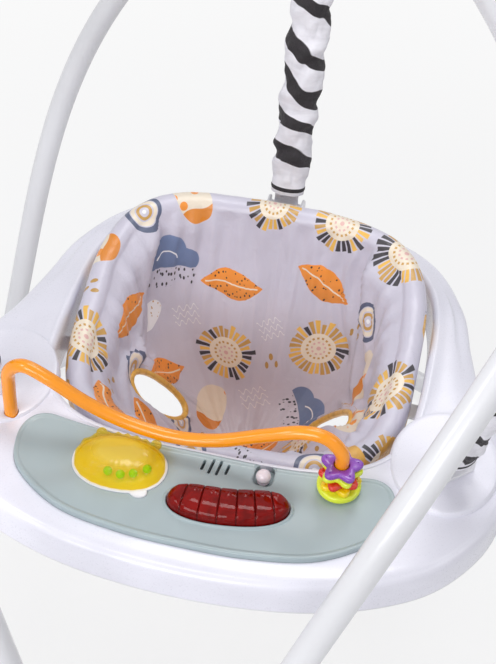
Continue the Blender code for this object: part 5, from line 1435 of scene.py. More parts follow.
def buildRattle():
    low = panel["top"] - rattle["seatDepth"] + gap
    top = low + rattle["baseThickness"]
    levels = ((0, low), (0, top - 0.0007), (-0.0003, top - 0.0002), (-0.0008, top))
    plate = newObject("rattlePlate", loft("plate", layers(rattleBaseOutline, levels)))
    place(plate, "tray", "white_plastic", "rattle_base", angle=30)
    floor = top + gap
    # The dome from its foot to its top: share of the outline, share of the height, depth of the lobes
    profile = ((1.0, 0.0, 0.15), (1.0, 0.12, 0.2), (0.994, 0.26, 0.35), (0.985, 0.38, 0.6),
               (0.965, 0.47, 0.9), (0.935, 0.54, 1.15), (0.90, 0.575, 1.25), (0.865, 0.585, 1.2),
               (0.835, 0.60, 1.1), (0.805, 0.655, 1.0), (0.775, 0.735, 0.95), (0.735, 0.81, 0.85),
               (0.67, 0.875, 0.7), (0.58, 0.925, 0.5), (0.46, 0.96, 0.25), (0.33, 0.98, 0.1),
               (0.18, 0.995, 0.0), (0.04, 1.0, 0.0))
    outer, inner = [], []
    for scale, rise, wave in profile:
        for rings, wall in ((outer, 0), (inner, rattle["wall"])):
            height = floor + (rattle["height"] - wall) * rise
            rings.append([onTray(x, y, height) for x, y in rattleOutline(-wall * scale, scale, wave)])
    shell = newObject("rattleShell", loft("rattleShell", outer[::-1] + inner))
    ears, size = [], rattle["earBall"]
    for angle in rattle["ears"]:
        reach = rattleReach(radians(angle)) + 0.0010
        spot = onTray(*rattle["centre"], floor + 0.0052) + outward(angle) * reach
        ball = [[spot + Vector((a * cos(t), b * cos(t), 0.0050 * sin(t))) for a, b in circle(size, 36)]
                for t in (pi * k / 20 - pi / 2 for k in range(1, 20))]
        ears.append(fuse(loft("ear", ball)))
    combine(shell, ears)
    place(shell, "tray", "yellow_lens", "rattle_dome", angle=60)
    shell.data.materials.append(finishes["domeLining"])     # for the faces that look at the dome's middle
    middle = onTray(*rattle["centre"], floor - 0.002)
    for face in shell.data.polygons:
        face.material_index = int(face.normal.dot(face.center - middle) < 0)
    r = rattle["ball"]
    for number, (x, y) in enumerate(rattle["balls"], 1):
        rings = []
        for k in range(1, 24):
            a = pi * k / 24 - pi / 2
            seam = 0.00012 if k == 12 else 0.0
            rings.append([onTray(x + p * cos(a), y + q * cos(a), floor + r + r * sin(a))
                          for p, q in circle(r - seam, 36)])
        place(newObject(f"rattleBall{number}", loft("ball", rings)), "tray", "green_plastic",
              f"rattle_ball_{number}")


def buildKnob():
    r, stem, high = panel["knobRadius"], panel["knobStem"], panel["knobHeight"]
    rx, ry, ra, rb = panel["recess"]
    travel = 2 * (rb - r - 0.0008)
    centre = onTray(rx, ry - travel / 2)
    levels = [(stem, -0.0088), (stem, -0.0043), (r * 0.76, -0.0041), (r * 0.80, -0.0037)]
    for k in range(1, 40):
        a = pi * k / 40 - pi / 2
        if high + r * sin(a) > -0.0034:
            levels.append((r * cos(a), high + r * sin(a)))
    slim = panel["knobScale"]
    rings = [[centre + Vector((a, b, z * slim)) for a, b in circle(radius * slim, 56)]
             for radius, z in levels]
    place(newObject("slideKnob", loft("knob", rings)), "switch_knob", "pink_plastic", "switch_knob", angle=50)


def buildBeads():
    route = [trayOrigin + p for p in smoothOpen(beads["route"], 14)]
    tube = tubes.grow("beadTubeBend", route, Radius=beads["tubeRadius"], Sides=40,
                      Finish=finishes["orange_plastic"])
    place(tube, "tray", "orange_plastic", "bead_tube")
    # From the lowest: node, piece, body, slot and how a star is turned
    strung = (("ring_bead", "ringBead", "lime_ring", "lime_plastic", None),
              ("star_yellow", "starBeadYellow", "yellow_star", "yellow_plastic", 8.0),
              ("star_red", "starBeadRed", "red_star", "red_plastic", 40.0),
              ("star_lime", "starBeadLime", "lime_star", "lime_plastic", 12.0),
              ("star_purple", "starBeadPurple", "purple_star", "purple_plastic", 20.0))
    level = panel["top"] + panel["bead"] + gap
    hole = beads["tubeRadius"] + beads["play"]
    for node, name, body, slot, turn in strung:
        star = turn is not None
        height = beads["starHeight"] if star else beads["ringHeight"]
        centre = onTray(*beads["axis"], level)
        rings, sides = [], 150
        for k in range(sides):
            angle = 2 * pi * k / sides
            outer = beads["ring"]
            if star:
                outer = beads["star"] + beads["point"] * cos(5 * (angle - radians(turn)))
            section = ((hole, 0.0006), (hole + 0.0006, 0), (outer - 0.0022, 0), (outer - 0.0007, 0.0006),
                       (outer - 0.0001, 0.0019), (outer - 0.0001, height - 0.0019),
                       (outer - 0.0008, height - 0.0006), (outer - 0.0024, height), (hole + 0.0006, height),
                       (hole, height - 0.0006))
            rings.append([centre + Vector((r * cos(angle), r * sin(angle), z)) for r, z in section])
        bead = newObject(name, loft(node, rings, loop=True))
        if star:
            pits = []
            for k in range(5):
                spot = centre + outward(turn + 72 * k) * (beads["star"] - 0.0015)
                low, high = spot + up * (height - 0.0007), spot + up * (height + 0.002)
                pits.append(cut(cylinderBetween(low, high, beads["pit"], 12)))
            combine(bead, pits)
        place(bead, body, slot, node, angle=50)
        level += height + gap


buildDeck()
buildUnderside()
buildPanel()
buildLamp()
buildRattle()
buildKnob()
buildBeads()
print("tray and toys built")


# Seat: a printed satin bucket rolled over its ring, with gold hem and leg bindings

seat = {"centreY": 0.006, "halfWidth": 0.1615, "halfLength": 0.1445, "squareness": 3.2, "frontZ": -0.025,
        "rearZ": 0.032, "riseFrom": -0.10, "riseTo": 0.15, "roll": 0.011, "skirt": 0.034, "lowest": -0.042,
        "depth": 0.195, "thickness": 0.0026, "stations": 320, "levels": 84, "round": 0.950,
        "hole": (0.0915, 0.0047), "holeSize": (0.040, 0.024), "holeTurn": 52.0, "holeInset": 0.0045,
        "binding": 0.0035, "fold": 0.0030, "slack": 0.055, "most": 0.008, "frames": 20, "seed": 11,
        "smoothing": 1, "puckerRise": 2.2, "puckerReach": 1.6, "shoulder": 0.0065, "skirtLevels": 9,
        "rollLevels": 15, "printLevels": 26, "holeTop": -0.03}
firstBucket = seat["skirtLevels"] + seat["rollLevels"]
# Creases as (turn round the rim from the rear, distance down the wall); the cloth above and before
# each one stands proud of the cloth beyond it
creases = ({"path": ((0.889, -0.004), (0.881, 0.018), (0.873, 0.045), (0.862, 0.075), (0.824, 0.088),
                     (0.782, 0.080), (0.762, 0.088)),
            "side": 1, "rise": 0.0150, "dip": 0.0080, "reach": 0.044, "lean": 0.0075},
           {"path": ((0.128, -0.004), (0.147, 0.022), (0.174, 0.048), (0.206, 0.066), (0.229, 0.086),
                     (0.275, 0.100), (0.302, 0.098)),
            "side": -1, "rise": 0.0130, "dip": 0.0070, "reach": 0.040, "lean": 0.0065},
           {"path": ((0.170, 0.075), (0.193, 0.100), (0.211, 0.118), (0.228, 0.135)),
            "side": -1, "rise": 0.0060, "dip": 0.0050, "reach": 0.020, "lean": 0.0030},
           {"path": ((0.915, 0.060), (0.903, 0.085), (0.880, 0.108), (0.850, 0.128)),
            "side": 1, "rise": 0.0060, "dip": 0.0055, "reach": 0.026, "lean": 0.0025})
# Short gathers below the rim: turn, length, height, half width, drift
puckers = ((0.090, 0.050, 0.0030, 0.008, 0.25), (0.072, 0.070, 0.0024, 0.009, 0.05),
           (0.108, 0.060, 0.0032, 0.007, 0.35), (0.040, 0.060, 0.0020, 0.009, 0.10),
           (0.983, 0.070, 0.0026, 0.010, -0.10), (0.954, 0.080, 0.0026, 0.010, -0.15),
           (0.924, 0.060, 0.0034, 0.008, 0.20), (0.905, 0.070, 0.0030, 0.007, 0.10),
           (0.015, 0.050, 0.0018, 0.010, 0.00), (0.840, 0.050, 0.0026, 0.008, -0.20),
           (0.815, 0.045, 0.0024, 0.007, -0.25), (0.790, 0.055, 0.0022, 0.008, -0.10),
           (0.735, 0.050, 0.0024, 0.008, -0.30), (0.690, 0.040, 0.0026, 0.007, -0.20),
           (0.655, 0.045, 0.0030, 0.008, 0.10), (0.170, 0.050, 0.0024, 0.008, 0.30),
           (0.200, 0.045, 0.0022, 0.007, 0.25), (0.240, 0.050, 0.0020, 0.008, 0.20),
           (0.300, 0.045, 0.0024, 0.008, 0.25), (0.345, 0.040, 0.0026, 0.007, 0.10),
           (0.400, 0.045, 0.0022, 0.009, 0.00), (0.460, 0.040, 0.0020, 0.009, 0.10),
           (0.520, 0.045, 0.0022, 0.008, -0.05), (0.580, 0.040, 0.0024, 0.008, 0.05))
flaps = {-1: 0.0115, 1: 0.0290}         # how far the cloth before each leg hole bulges over it
# Where the gold hem shows beside the rim: middle turn, half width, how far up the roll it comes
hems = ((0.318, 0.014, 12), (0.344, 0.016, 12), (0.788, 0.018, 12), (0.664, 0.016, 12))
tab = {"turn": 0.630, "half": 0.0092, "levels": 15}
# Each kind of motif in the print: size against its drawing, reach, how many
motifs = {1: (1.10, 0.0315, 11), 2: (1.42, 0.027, 7), 3: (1.16, 0.030, 8), 5: (1.15, 0.025, 6),
          4: (1.05, 0.0195, 9), 9: (1.20, 0.0155, 14), 6: (1.25, 0.0165, 24), 7: (1.20, 0.0145, 18),
          8: (1.15, 0.0105, 34)}


def ringHeight(y):
    share = ease((y - seat["riseFrom"]) / (seat["riseTo"] - seat["riseFrom"]))
    return seat["frontZ"] + (seat["rearZ"] - seat["frontZ"]) * share


def ringStation(turn):
    # Centre of the rolled ring, and the way out from it
    n, a, b = seat["squareness"], seat["halfWidth"], seat["halfLength"]
    angle = pi / 2 + 2 * pi * turn
    c, s = cos(angle), sin(angle)
    reach = superReach(c, s, a, b, n)
    x, y = reach * c, reach * s
    outX = abs(x / a) ** (n - 1) / a * (1 if x > 0 else -1)
    outY = abs(y / b) ** (n - 1) / b * (1 if y > 0 else -1)
    y += seat["centreY"]
    return Vector((x, y, ringHeight(y))), Vector((outX, outY, 0)).normalized()


def bucketHeight(share, rimZ, toward):
    return rimZ * share ** 2 - seat["depth"] * (1 - share ** (2.1 + 0.92 * toward))


rimOutline = []
for k in range(240):
    centre, out = ringStation(k / 240)
    edge = centre - out * seat["roll"]
    rimOutline.append((edge.x, edge.y - seat["centreY"]))


def bucketPoint(x, y):
    angle = atan2(y - seat["centreY"], x)
    edge = polarReach(rimOutline, angle)
    share = hypot(x, y - seat["centreY"]) / edge
    return Vector((x, y, bucketHeight(share, ringHeight(edge * sin(angle) + seat["centreY"]), sin(angle))))


def holeShare(x, y):
    # 1 on the edge of the nearer leg hole, less inside
    a, b = (half - seat["holeInset"] for half in seat["holeSize"])
    turn = radians(seat["holeTurn"])
    side = -1 if x < 0 else 1
    dx, dy = side * -(x - side * seat["hole"][0]), y - seat["hole"][1]
    p, q = dx * cos(turn) + dy * sin(turn), -dx * sin(turn) + dy * cos(turn)
    return sqrt((p / a) ** 2 + (q / b) ** 2), p, q, side


def holePoint(side, p, q):
    turn = radians(seat["holeTurn"])
    x = side * (seat["hole"][0] - (p * cos(turn) - q * sin(turn)))
    return x, seat["hole"][1] + p * sin(turn) + q * cos(turn)


def legHoleOutline(side, inset, sides):
    a, b = (half - inset for half in seat["holeSize"])
    return [holePoint(side, a * cos(2 * pi * k / sides), b * sin(2 * pi * k / sides)) for k in range(sides)]


def seatGrid():
    # Rows round the ring, each from the skirt's foot, over the roll and down to the bucket's middle
    rows = []
    shares = [1 - 0.972 * (k / seat["levels"]) ** 0.92 for k in range(1, seat["levels"] + 1)]
    skirt, roll = seat["skirtLevels"], seat["rollLevels"]
    for k in range(seat["stations"]):
        centre, out = ringStation(k / seat["stations"])
        bottom = max(centre.z - seat["skirt"], seat["lowest"])
        wide = centre + out * seat["roll"]
        row = [Vector((wide.x, wide.y, bottom + (centre.z - bottom) * n / skirt)) for n in range(skirt)]
        for n in range(roll):
            a = pi * n / (roll - 1)
            row.append(centre + out * seat["roll"] * cos(a) + up * seat["roll"] * sin(a))
        edge = centre - out * seat["roll"]
        flat = Vector((edge.x, edge.y - seat["centreY"], 0))
        toward = flat.normalized().y
        for share in shares:
            height = bucketHeight(share, centre.z, toward)
            row.append(Vector((flat.x * share, seat["centreY"] + flat.y * share, height)))
        rows.append(row)
    return rows


def motifLayout(faceCentres):
    # Places for the print: large motifs first, then what fits between them
    chance = Random(seat["seed"])
    placed = []
    order = [kind for kind in (1, 2, 3, 5) for n in range(motifs[kind][2])]
    chance.shuffle(order)
    order += [kind for kind in (4, 9, 6, 7, 8) for n in range(motifs[kind][2])]
    for kind in order:
        reach = motifs[kind][0] * motifs[kind][1]
        best = None
        for attempt in range(90):
            face = chance.randrange(len(faceCentres))
            spot = faceCentres[face]
            room = min(((spot - other).length - reach - size for other, size, *rest in placed), default=0.02)
            if room > 0.003 and (best is None or room < best[0]):
                best = (room, face)
        if best:
            placed.append((faceCentres[best[1]], reach, kind, best[1], chance.uniform(-0.6, 0.6),
                           chance.random()))
    print("print motifs placed:", len(placed))
    return placed


def coordinates(data):
    flat = np.zeros(len(data.vertices) * 3)
    data.vertices.foreach_get("co", flat)
    return flat.reshape(-1, 3)


def wrapped(turn):
    return (turn + 0.5) % 1.0 - 0.5


def seatMesh():
    # The smooth cloth with its leg holes, and where each point lies on the grid
    rows = seatGrid()
    count, tall = len(rows), len(rows[0])
    points = [p for row in rows for p in row]
    snapped, inside = set(), {}
    for k in range(count):
        for n in range(firstBucket, tall):
            p = points[k * tall + n]
            share, a, b, side = holeShare(p.x, p.y)
            if share < 1 and p.z < seat["holeTop"]:
                inside[k * tall + n] = (share, a, b, side)
    for index, (share, a, b, side) in inside.items():
        k, n = divmod(index, tall)
        around = [((k + dk) % count) * tall + n + dn
                  for dk, dn in ((1, 0), (-1, 0), (0, 1), (0, -1)) if n + dn < tall]
        if any(other not in inside for other in around):
            points[index] = bucketPoint(*holePoint(side, a / share, b / share))
            snapped.add(index)
    faces = []
    for k in range(count):
        low, high = k * tall, (k + 1) % count * tall
        for n in range(tall - 1):
            face = (low + n, low + n + 1, high + n + 1, high + n)
            if any(i not in inside for i in face):
                faces.append(face)
    faces.append(tuple(k * tall + tall - 1 for k in range(count)))
    down = [0.0] * len(points)
    for k in range(count):
        for n in range(firstBucket, tall):
            here = k * tall + n
            down[here] = down[here - 1] + (points[here] - points[here - 1]).length
    used = sorted(set(i for face in faces for i in face))
    newNumber = {old: new for new, old in enumerate(used)}
    faces = [tuple(newNumber[i] for i in face) for face in faces]
    data = meshFrom("seatCloth", [points[i] + trayOrigin for i in used], faces)
    grid = {"rows": rows, "level": [i % tall for i in used], "station": [i // tall for i in used],
            "down": [down[i] for i in used], "pinned": {newNumber[i] for i in snapped if i in newNumber}}
    return data, grid


def printPlaces(data, grid):
    # Where each face lies in its motif, measured on the smooth shape so that the folds carry the print
    layout = motifLayout([f.center.copy() for f in data.polygons[:-1]])
    smooth = coordinates(data)
    rows, level, count = grid["rows"], grid["level"], seat["stations"]
    centres = np.array([tuple(f.center) for f in data.polygons])
    normals = np.array([tuple(f.normal) for f in data.polygons])
    tall = len(rows[0])
    girths = [sum((rows[k][n] - rows[k - 1][n]).length for k in range(count)) for n in range(tall)]
    runs = [[0.0] * tall for row in rows]
    for row, run in zip(rows, runs):
        for n in range(1, tall):
            run[n] = run[n - 1] + (row[n] - row[n - 1]).length
    corner = [(s / count, runs[s][n], girths[n]) for s, n in zip(grid["station"], level)]
    middles = np.array([corner[f.vertices[0]] for f in data.polygons])
    faceCount = len(data.polygons)
    best, owner = np.full(faceCount, 9.0), np.full(faceCount, -1)
    axes, unrolled = [], []
    for number, (spot, reach, motif, face, turn, seedNumber) in enumerate(layout):
        polygon = data.polygons[face]
        unrolled.append(level[polygon.vertices[0]] < firstBucket + seat["printLevels"])
        if unrolled[-1]:
            here = middles[face]
            sideways = wrapped(middles[:, 0] - here[0]) * 0.5 * (middles[:, 2] + here[2])
            away = np.hypot(sideways, middles[:, 1] - here[1]) / reach
        else:
            away = np.linalg.norm(centres - np.array(spot), axis=1) / reach
            away[normals @ normals[face] < 0.2] = 9.0
        closer = (away < best) & (away < 1.25)
        best[closer] = away[closer]
        owner[closer] = number
        normal = polygon.normal.copy()
        rimward = up - normal * up.dot(normal)
        if rimward.length < 0.25:
            rimward = Vector((0, 1, 0)) - normal * normal.y
        rimward.normalize()
        sideways = rimward.cross(normal)
        axes.append((np.array(spot), np.array(sideways * cos(turn) + rimward * sin(turn)),
                     np.array(rimward * cos(turn) - sideways * sin(turn))))
    places = np.zeros((len(data.loops), 2), np.float32)
    kind, seedValue = np.zeros(faceCount, np.float32), np.zeros(faceCount, np.float32)
    for polygon in data.polygons:
        number = owner[polygon.index]
        if number < 0:
            continue
        spot, reach, motif, face, turn, seedNumber = layout[number]
        kind[polygon.index], seedValue[polygon.index] = motif, seedNumber
        origin, first, second = axes[number]
        here, scale = middles[face], motifs[motif][0]
        for loop in polygon.loop_indices:
            vertex = data.loops[loop].vertex_index
            if unrolled[number]:
                at = corner[vertex]
                x = wrapped(at[0] - here[0]) * 0.5 * (at[2] + here[2]) / scale
                y = (at[1] - here[1]) / scale
                places[loop] = (-x * cos(turn) + y * sin(turn), -y * cos(turn) - x * sin(turn))
                continue
            offset = smooth[vertex] - origin
            x, y = float(offset @ first), float(offset @ second)
            flat = hypot(x, y)
            stretch = (float(np.linalg.norm(offset)) / flat if flat > 1e-6 else 1.0) / scale
            places[loop] = (x * stretch, y * stretch)
    data.uv_layers.new(name="printPlace").data.foreach_set("uv", places.ravel())
    data.attributes.new("motifKind", "FLOAT", "FACE").data.foreach_set("value", kind)
    data.attributes.new("motifSeed", "FLOAT", "FACE").data.foreach_set("value", seedValue)


def goldPlaces(data, grid):
    # How far inside the gold hem or the gold tab each point lies, in mesh levels, and the gold's own map
    count, edges = seat["stations"], []
    for level, station in zip(grid["level"], grid["station"]):
        turn = station / count
        top = max([2.5 + 0.3 * sin(turn * 57)]
                  + [high * ease(1.4 - abs(turn - middle) / half) for middle, half, high in hems])
        beside = (tab["half"] - abs(turn - tab["turn"]) * seat["round"]) / 0.003
        edges.append(max(top - level, min(beside, firstBucket + tab["levels"] - level)))
    data.attributes.new("hemEdge", "FLOAT", "POINT").data.foreach_set("value", np.array(edges, np.float32))
    threads = np.zeros((len(data.loops), 2), np.float32)
    for polygon in data.polygons:
        first, last = (grid["station"][polygon.vertices[end]] for end in (0, -1))
        beside = abs(first / count - tab["turn"]) * seat["round"] < tab["half"] * 1.3
        for loop in polygon.loop_indices:
            vertex = data.loops[loop].vertex_index
            station = grid["station"][vertex]
            if station == 0 and first + last > count:
                station = count
            run, around = grid["level"][vertex] * 0.0024, station / count * seat["round"]
            threads[loop] = (around, run) if beside else (run, around)
    data.uv_layers.new(name="cloth").data.foreach_set("uv", threads.ravel())


def buildSeat():
    data, grid = seatMesh()
    printPlaces(data, grid)
    goldPlaces(data, grid)
    cloth = newObject("seatCloth", data)
    foldCloth(cloth, grid)
    drape(cloth, grid)
    solid = cloth.modifiers.new("thickness", "SOLIDIFY")
    solid.thickness = seat["thickness"]
    solid.offset = 0
    solid.use_even_offset = False
    settle(cloth)
    cloth.data.materials.clear()
    cloth.data.materials.append(finishes["lavender_fabric"])
    cloth.data.shade_smooth()
    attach(cloth, "tray")
    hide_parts("seat_fabric")


def creaseOffset(path, a, b):
    # Signed distance from a crease, and how far along it the nearest point is, 0 to 1
    best = (9.0, 0.0, 0.0)
    for k in range(len(path) - 1):
        (ax, ay), (bx, by) = path[k], path[k + 1]
        ax, bx = ax * seat["round"], bx * seat["round"]
        ex, ey = bx - ax, by - ay
        share = min(max(((a - ax) * ex + (b - ay) * ey) / (ex * ex + ey * ey), 0.0), 1.0)
        dx, dy = a - ax - ex * share, b - ay - ey * share
        away = hypot(dx, dy)
        if away < best[0]:
            best = (away, ex * dy - ey * dx, (k + share) / (len(path) - 1))
    return (best[0] if best[1] > 0 else -best[0]), best[2]


def ringNoise(ring, spread, height):
    return noise.noise(Vector((cos(ring) * spread, sin(ring) * spread, height)))


def rimShift(normal, turn, level):
    # The gold tab is crimped, and the rolled satin is a little uneven
    beside = abs(turn - tab["turn"]) * seat["round"]
    if beside < tab["half"] * 1.1 and level > 8:
        crimp = 0.5 + 0.5 * sin(level * 2.4 + 0.6 * sin(turn * 400))
        return normal * (0.0009 * crimp * ease((tab["half"] * 1.1 - beside) / 0.002))
    if level > 9:
        soft = ringNoise(2 * pi * turn, 6, level * 0.10)
        return normal * (soft * 0.0016 * ease((level - 9) / 5))
    return Vector()


def creaseMoves(inward, turn, down, calm):
    across = up.cross(inward)
    across = across.normalized() if across.length > 0.1 else Vector()
    for fold in creases:
        away, along = creaseOffset(fold["path"], turn * seat["round"], down)
        away *= fold["side"]
        if abs(away) > fold["reach"] * 3:
            continue
        ends = ease(along / 0.10 + 0.12) * ease((1 - along) / 0.16)
        edge = 0.5 + 0.5 * np.tanh(away / 0.0022)
        proud = edge * fadeOut(max(away, 0) / fold["reach"]) * fold["rise"]
        sunk = (1 - edge) * fadeOut(max(-away, 0) / (fold["reach"] * 0.45)) * fold["dip"]
        yield inward * float(proud - sunk) * ends * calm
        lean = float(edge * fadeOut(max(away, 0) / 0.010)) * fold["lean"] * ends * calm
        yield (-up * 0.75 + across * (-fold["side"] * 0.66)) * lean


def puckerMoves(inward, turn, down):
    for middle, length, height, half, drift in puckers:
        length, height = length * seat["puckerReach"], height * seat["puckerRise"]
        off = (turn - middle) * seat["round"] - drift * down
        if abs(off) < half * 3 and down < length:
            spread = half * (0.55 + 1.1 * down / length)
            rise = height * ease(down / 0.010) * (1 - down / length) ** 0.8
            yield inward * rise * (fadeOut((off / spread) ** 2) - 0.35 * fadeOut((off / spread / 2.1) ** 2))


def flapMove(inward, share, p, q, side):
    # The cloth before each leg hole bulges over it
    gapOut = (share - 1) * hypot(p, q) / share
    front = ease((-q / max(hypot(p, q), 1e-6) + 0.25) / 0.8)
    bulge = flaps[side] * front * ease(gapOut / 0.0075) * fadeOut(gapOut / 0.034)
    ahead = bucketPoint(*holePoint(side, p, q + 0.01))
    towards = (ahead - bucketPoint(*holePoint(side, p, q))).normalized()
    return (inward * 0.80 + towards * 0.75) * bulge


def bucketShift(vertex, turn, level, down):
    spot = vertex.co - trayOrigin
    inner = trayOrigin + Vector((0, seat["centreY"], -0.02))
    inward = vertex.normal if vertex.normal.dot(inner - vertex.co) > 0 else -vertex.normal
    depth, ring = (level - firstBucket) / seat["levels"], 2 * pi * turn
    share, p, q, side = holeShare(spot.x, spot.y)
    low = spot.z < seat["holeTop"]
    calm = ease((share - 1.0) / 0.35) if low else 1.0
    hang = ease(depth * 7) * (1 - ease((depth - 0.66) / 0.34))
    wave = ringNoise(ring, 4.4, 3 + depth * 0.9)
    wave += 0.5 * ringNoise(ring, 11, 8 + depth * 1.6)
    wave += 0.22 * ringNoise(ring, 25, 2 + depth * 4)
    shoulder = ease(down / 0.010) * fadeOut(((down - 0.018) / 0.022) ** 2)
    shoulder *= ease((abs(wrapped(turn)) - 0.05) / 0.08)
    shift = inward * (wave * seat["fold"] * hang * calm + shoulder * seat["shoulder"])
    for move in (*creaseMoves(inward, turn, down, calm), *puckerMoves(inward, turn, down)):
        shift += move
    if low and share < 3.2:
        shift += flapMove(inward, share, p, q, side)
    return shift


def foldCloth(cloth, grid):
    shifts = []
    known = zip(cloth.data.vertices, grid["level"], grid["station"], grid["down"])
    for vertex, level, station, down in known:
        turn = station / seat["stations"]
        if level < firstBucket:
            shifts.append(rimShift(vertex.normal, turn, level))
        elif vertex.index in grid["pinned"]:
            shifts.append(Vector())
        else:
            shifts.append(bucketShift(vertex, turn, level, down))
    # Averaged with the neighbours, so that no crease shows the mesh's own steps
    moves = np.array([tuple(shift) for shift in shifts])
    ends = np.array([tuple(edge.vertices) for edge in cloth.data.edges])
    still = np.array([number in grid["pinned"] for number in range(len(moves))])
    near = 1.0 + np.bincount(ends.ravel(), minlength=len(moves))
    for step in range(seat["smoothing"]):
        total = moves.copy()
        np.add.at(total, ends[:, 0], moves[ends[:, 1]])
        np.add.at(total, ends[:, 1], moves[ends[:, 0]])
        moves = np.where(still[:, None], moves, total / near[:, None])
    for vertex, move in zip(cloth.data.vertices, moves):
        vertex.co += Vector(move)


def drape(cloth, grid):
    # Slack satin settles under its own weight between the ring and the leg bindings
    held = cloth.vertex_groups.new(name="held")
    for index, level in enumerate(grid["level"]):
        depth = (level - firstBucket) / seat["levels"]
        grip = 1.0 if level < firstBucket + 2 else max(0.0, 0.55 - depth * 5)
        spot = cloth.data.vertices[index].co
        share = holeShare(spot.x, spot.y - trayOrigin.y)[0]
        if spot.z < trayOrigin.z + seat["holeTop"] and share < 1.25:
            grip = max(grip, 1.0 - ease((share - 1.0) / 0.25))
        if index in grid["pinned"]:
            grip = 1.0
        if grip > 0.01:
            held.add([index], grip, "REPLACE")
    rest = coordinates(cloth.data)
    step = cloth.modifiers.new("drape", "CLOTH")
    step.settings.quality = 6
    step.settings.mass = 0.25
    step.settings.tension_stiffness = 18
    step.settings.compression_stiffness = 6
    step.settings.shear_stiffness = 5
    step.settings.bending_stiffness = 0.12
    step.settings.air_damping = 3
    step.settings.shrink_min = -seat["slack"]
    step.settings.shrink_max = -seat["slack"]
    step.settings.vertex_group_mass = "held"
    step.collision_settings.use_collision = False
    step.collision_settings.use_self_collision = False
    step.point_cache.frame_start = 1
    step.point_cache.frame_end = seat["frames"] + 1
    scene = bpy.context.scene
    for number in range(1, seat["frames"] + 1):
        scene.frame_set(number)
    graph = bpy.context.evaluated_depsgraph_get()
    fall = coordinates(cloth.evaluated_get(graph).data) - rest
    scene.frame_set(1)
    cloth.modifiers.clear()
    far = np.linalg.norm(fall, axis=1)
    print("seat cloth settled, most moved", round(float(far.max()) * 1000, 1), "mm")
    scale = np.minimum(1.0, seat["most"] / np.maximum(far, 1e-9))
    cloth.data.vertices.foreach_set("co", (rest + fall * scale[:, None]).ravel())
    cloth.data.update()


def buildBindings():
    for name, side in (("left", -1), ("right", 1)):
        outline = legHoleOutline(side, seat["binding"] + 0.0025, 150)
        path = [trayOrigin + bucketPoint(x, y) for x, y in outline]
        sections = []
        for k in range(len(path)):
            turn = 2 * pi * k / len(path)
            pucker = ringNoise(turn, 5, side) * 0.09
            pucker += ringNoise(turn, 17, side + 5) * 0.05
            sections.append([(a * (1 + pucker), b * (1 + pucker * 0.6))
                             for a, b in circle(seat["binding"], 20)])
        binding = loft("binding", sweepRings(path, sections, True, up), True, True)
        piece = newObject("legBinding" + name.title(), binding)
        place(piece, "tray", "gold_satin", "leg_binding_" + name, angle=80)
        outer = [trayOrigin + bucketPoint(x, y) + up * 0.0018 for x, y in legHoleOutline(side, 0.0018, 150)]
        sew("bindingStitches" + name.title(), outer, 0.0030, 0.0021, "gold_satin", "goldStitch", closed=True)


buildSeat()
buildBindings()
print("seat built")


# Straps, anchors, springs and sleeves

hanging = {"bar": 0.0125, "barRadius": 0.003, "halfWidth": 0.0125, "halfThickness": 0.0015, "length": 0.135,
           "eye": 0.0045, "anchorHalfWidth": 0.0205, "anchorHalfDepth": 0.0085, "cheek": 0.004,
           "hook": 0.0066, "play": 0.0008, "wire": 0.0012, "coil": 0.0088, "curls": 7, "eyeDown": 0.008}
anchorPlaces = {"rear": Vector((0, 0.188, 0.002)), "left": Vector((-0.222, -0.125, 0.002)),
                "right": Vector((0.222, -0.125, 0.002))}


def strapFrame(label):
    # The anchor's bar, the way from it to the hanger pin, that distance, and two directions across the strap
    bar = anchorPlaces[label] + trayOrigin + up * hanging["bar"]
    pin = hubPlace(hubAngles[label]) - up * stand["hangerDrop"]
    way = (pin - bar).normalized()
    tangent = up.cross(Vector((way.x, way.y, 0)).normalized())
    return bar, way, (pin - bar).length, tangent, tangent.cross(way)


def buildAnchor(label):
    bar, way, length, tangent, facing = strapFrame(label)
    level = Vector((way.x, way.y, 0)).normalized()
    low = -hanging["bar"] + gap
    w, t, depth = hanging["anchorHalfWidth"], hanging["cheek"], hanging["anchorHalfDepth"]
    profile = ((-w, low), (w, low), (w, 0.0008), (w - 0.0006, 0.0028), (w - 0.0016, 0.0038),
               (w - t * 0.5, 0.0041), (w - t + 0.0006, 0.0036), (w - t, 0.0024), (w - t, low + t + 0.002),
               (w - t - 0.0006, low + t + 0.0006), (w - t - 0.002, low + t), (-w + t + 0.002, low + t),
               (-w + t + 0.0006, low + t + 0.0006), (-w + t, low + t + 0.002), (-w + t, 0.0024),
               (-w + t - 0.0006, 0.0036), (-w + t * 0.5, 0.0041), (-w + 0.0016, 0.0038),
               (-w + 0.0006, 0.0028), (-w, 0.0008))
    rings = [[bar + tangent * a + up * b + level * d for a, b in profile] for d in (-depth, depth)]
    bracket = newObject("anchorBracket" + label.title(), loft("anchor", rings))
    roundEdges(bracket, 0.0007, 3)
    reach = tangent * (w - t / 2)
    combine(bracket, [fuse(cylinderBetween(bar - reach, bar + reach, hanging["barRadius"], 40))])
    place(bracket, "tray", "white_plastic", "strap_anchor_" + label, angle=32)


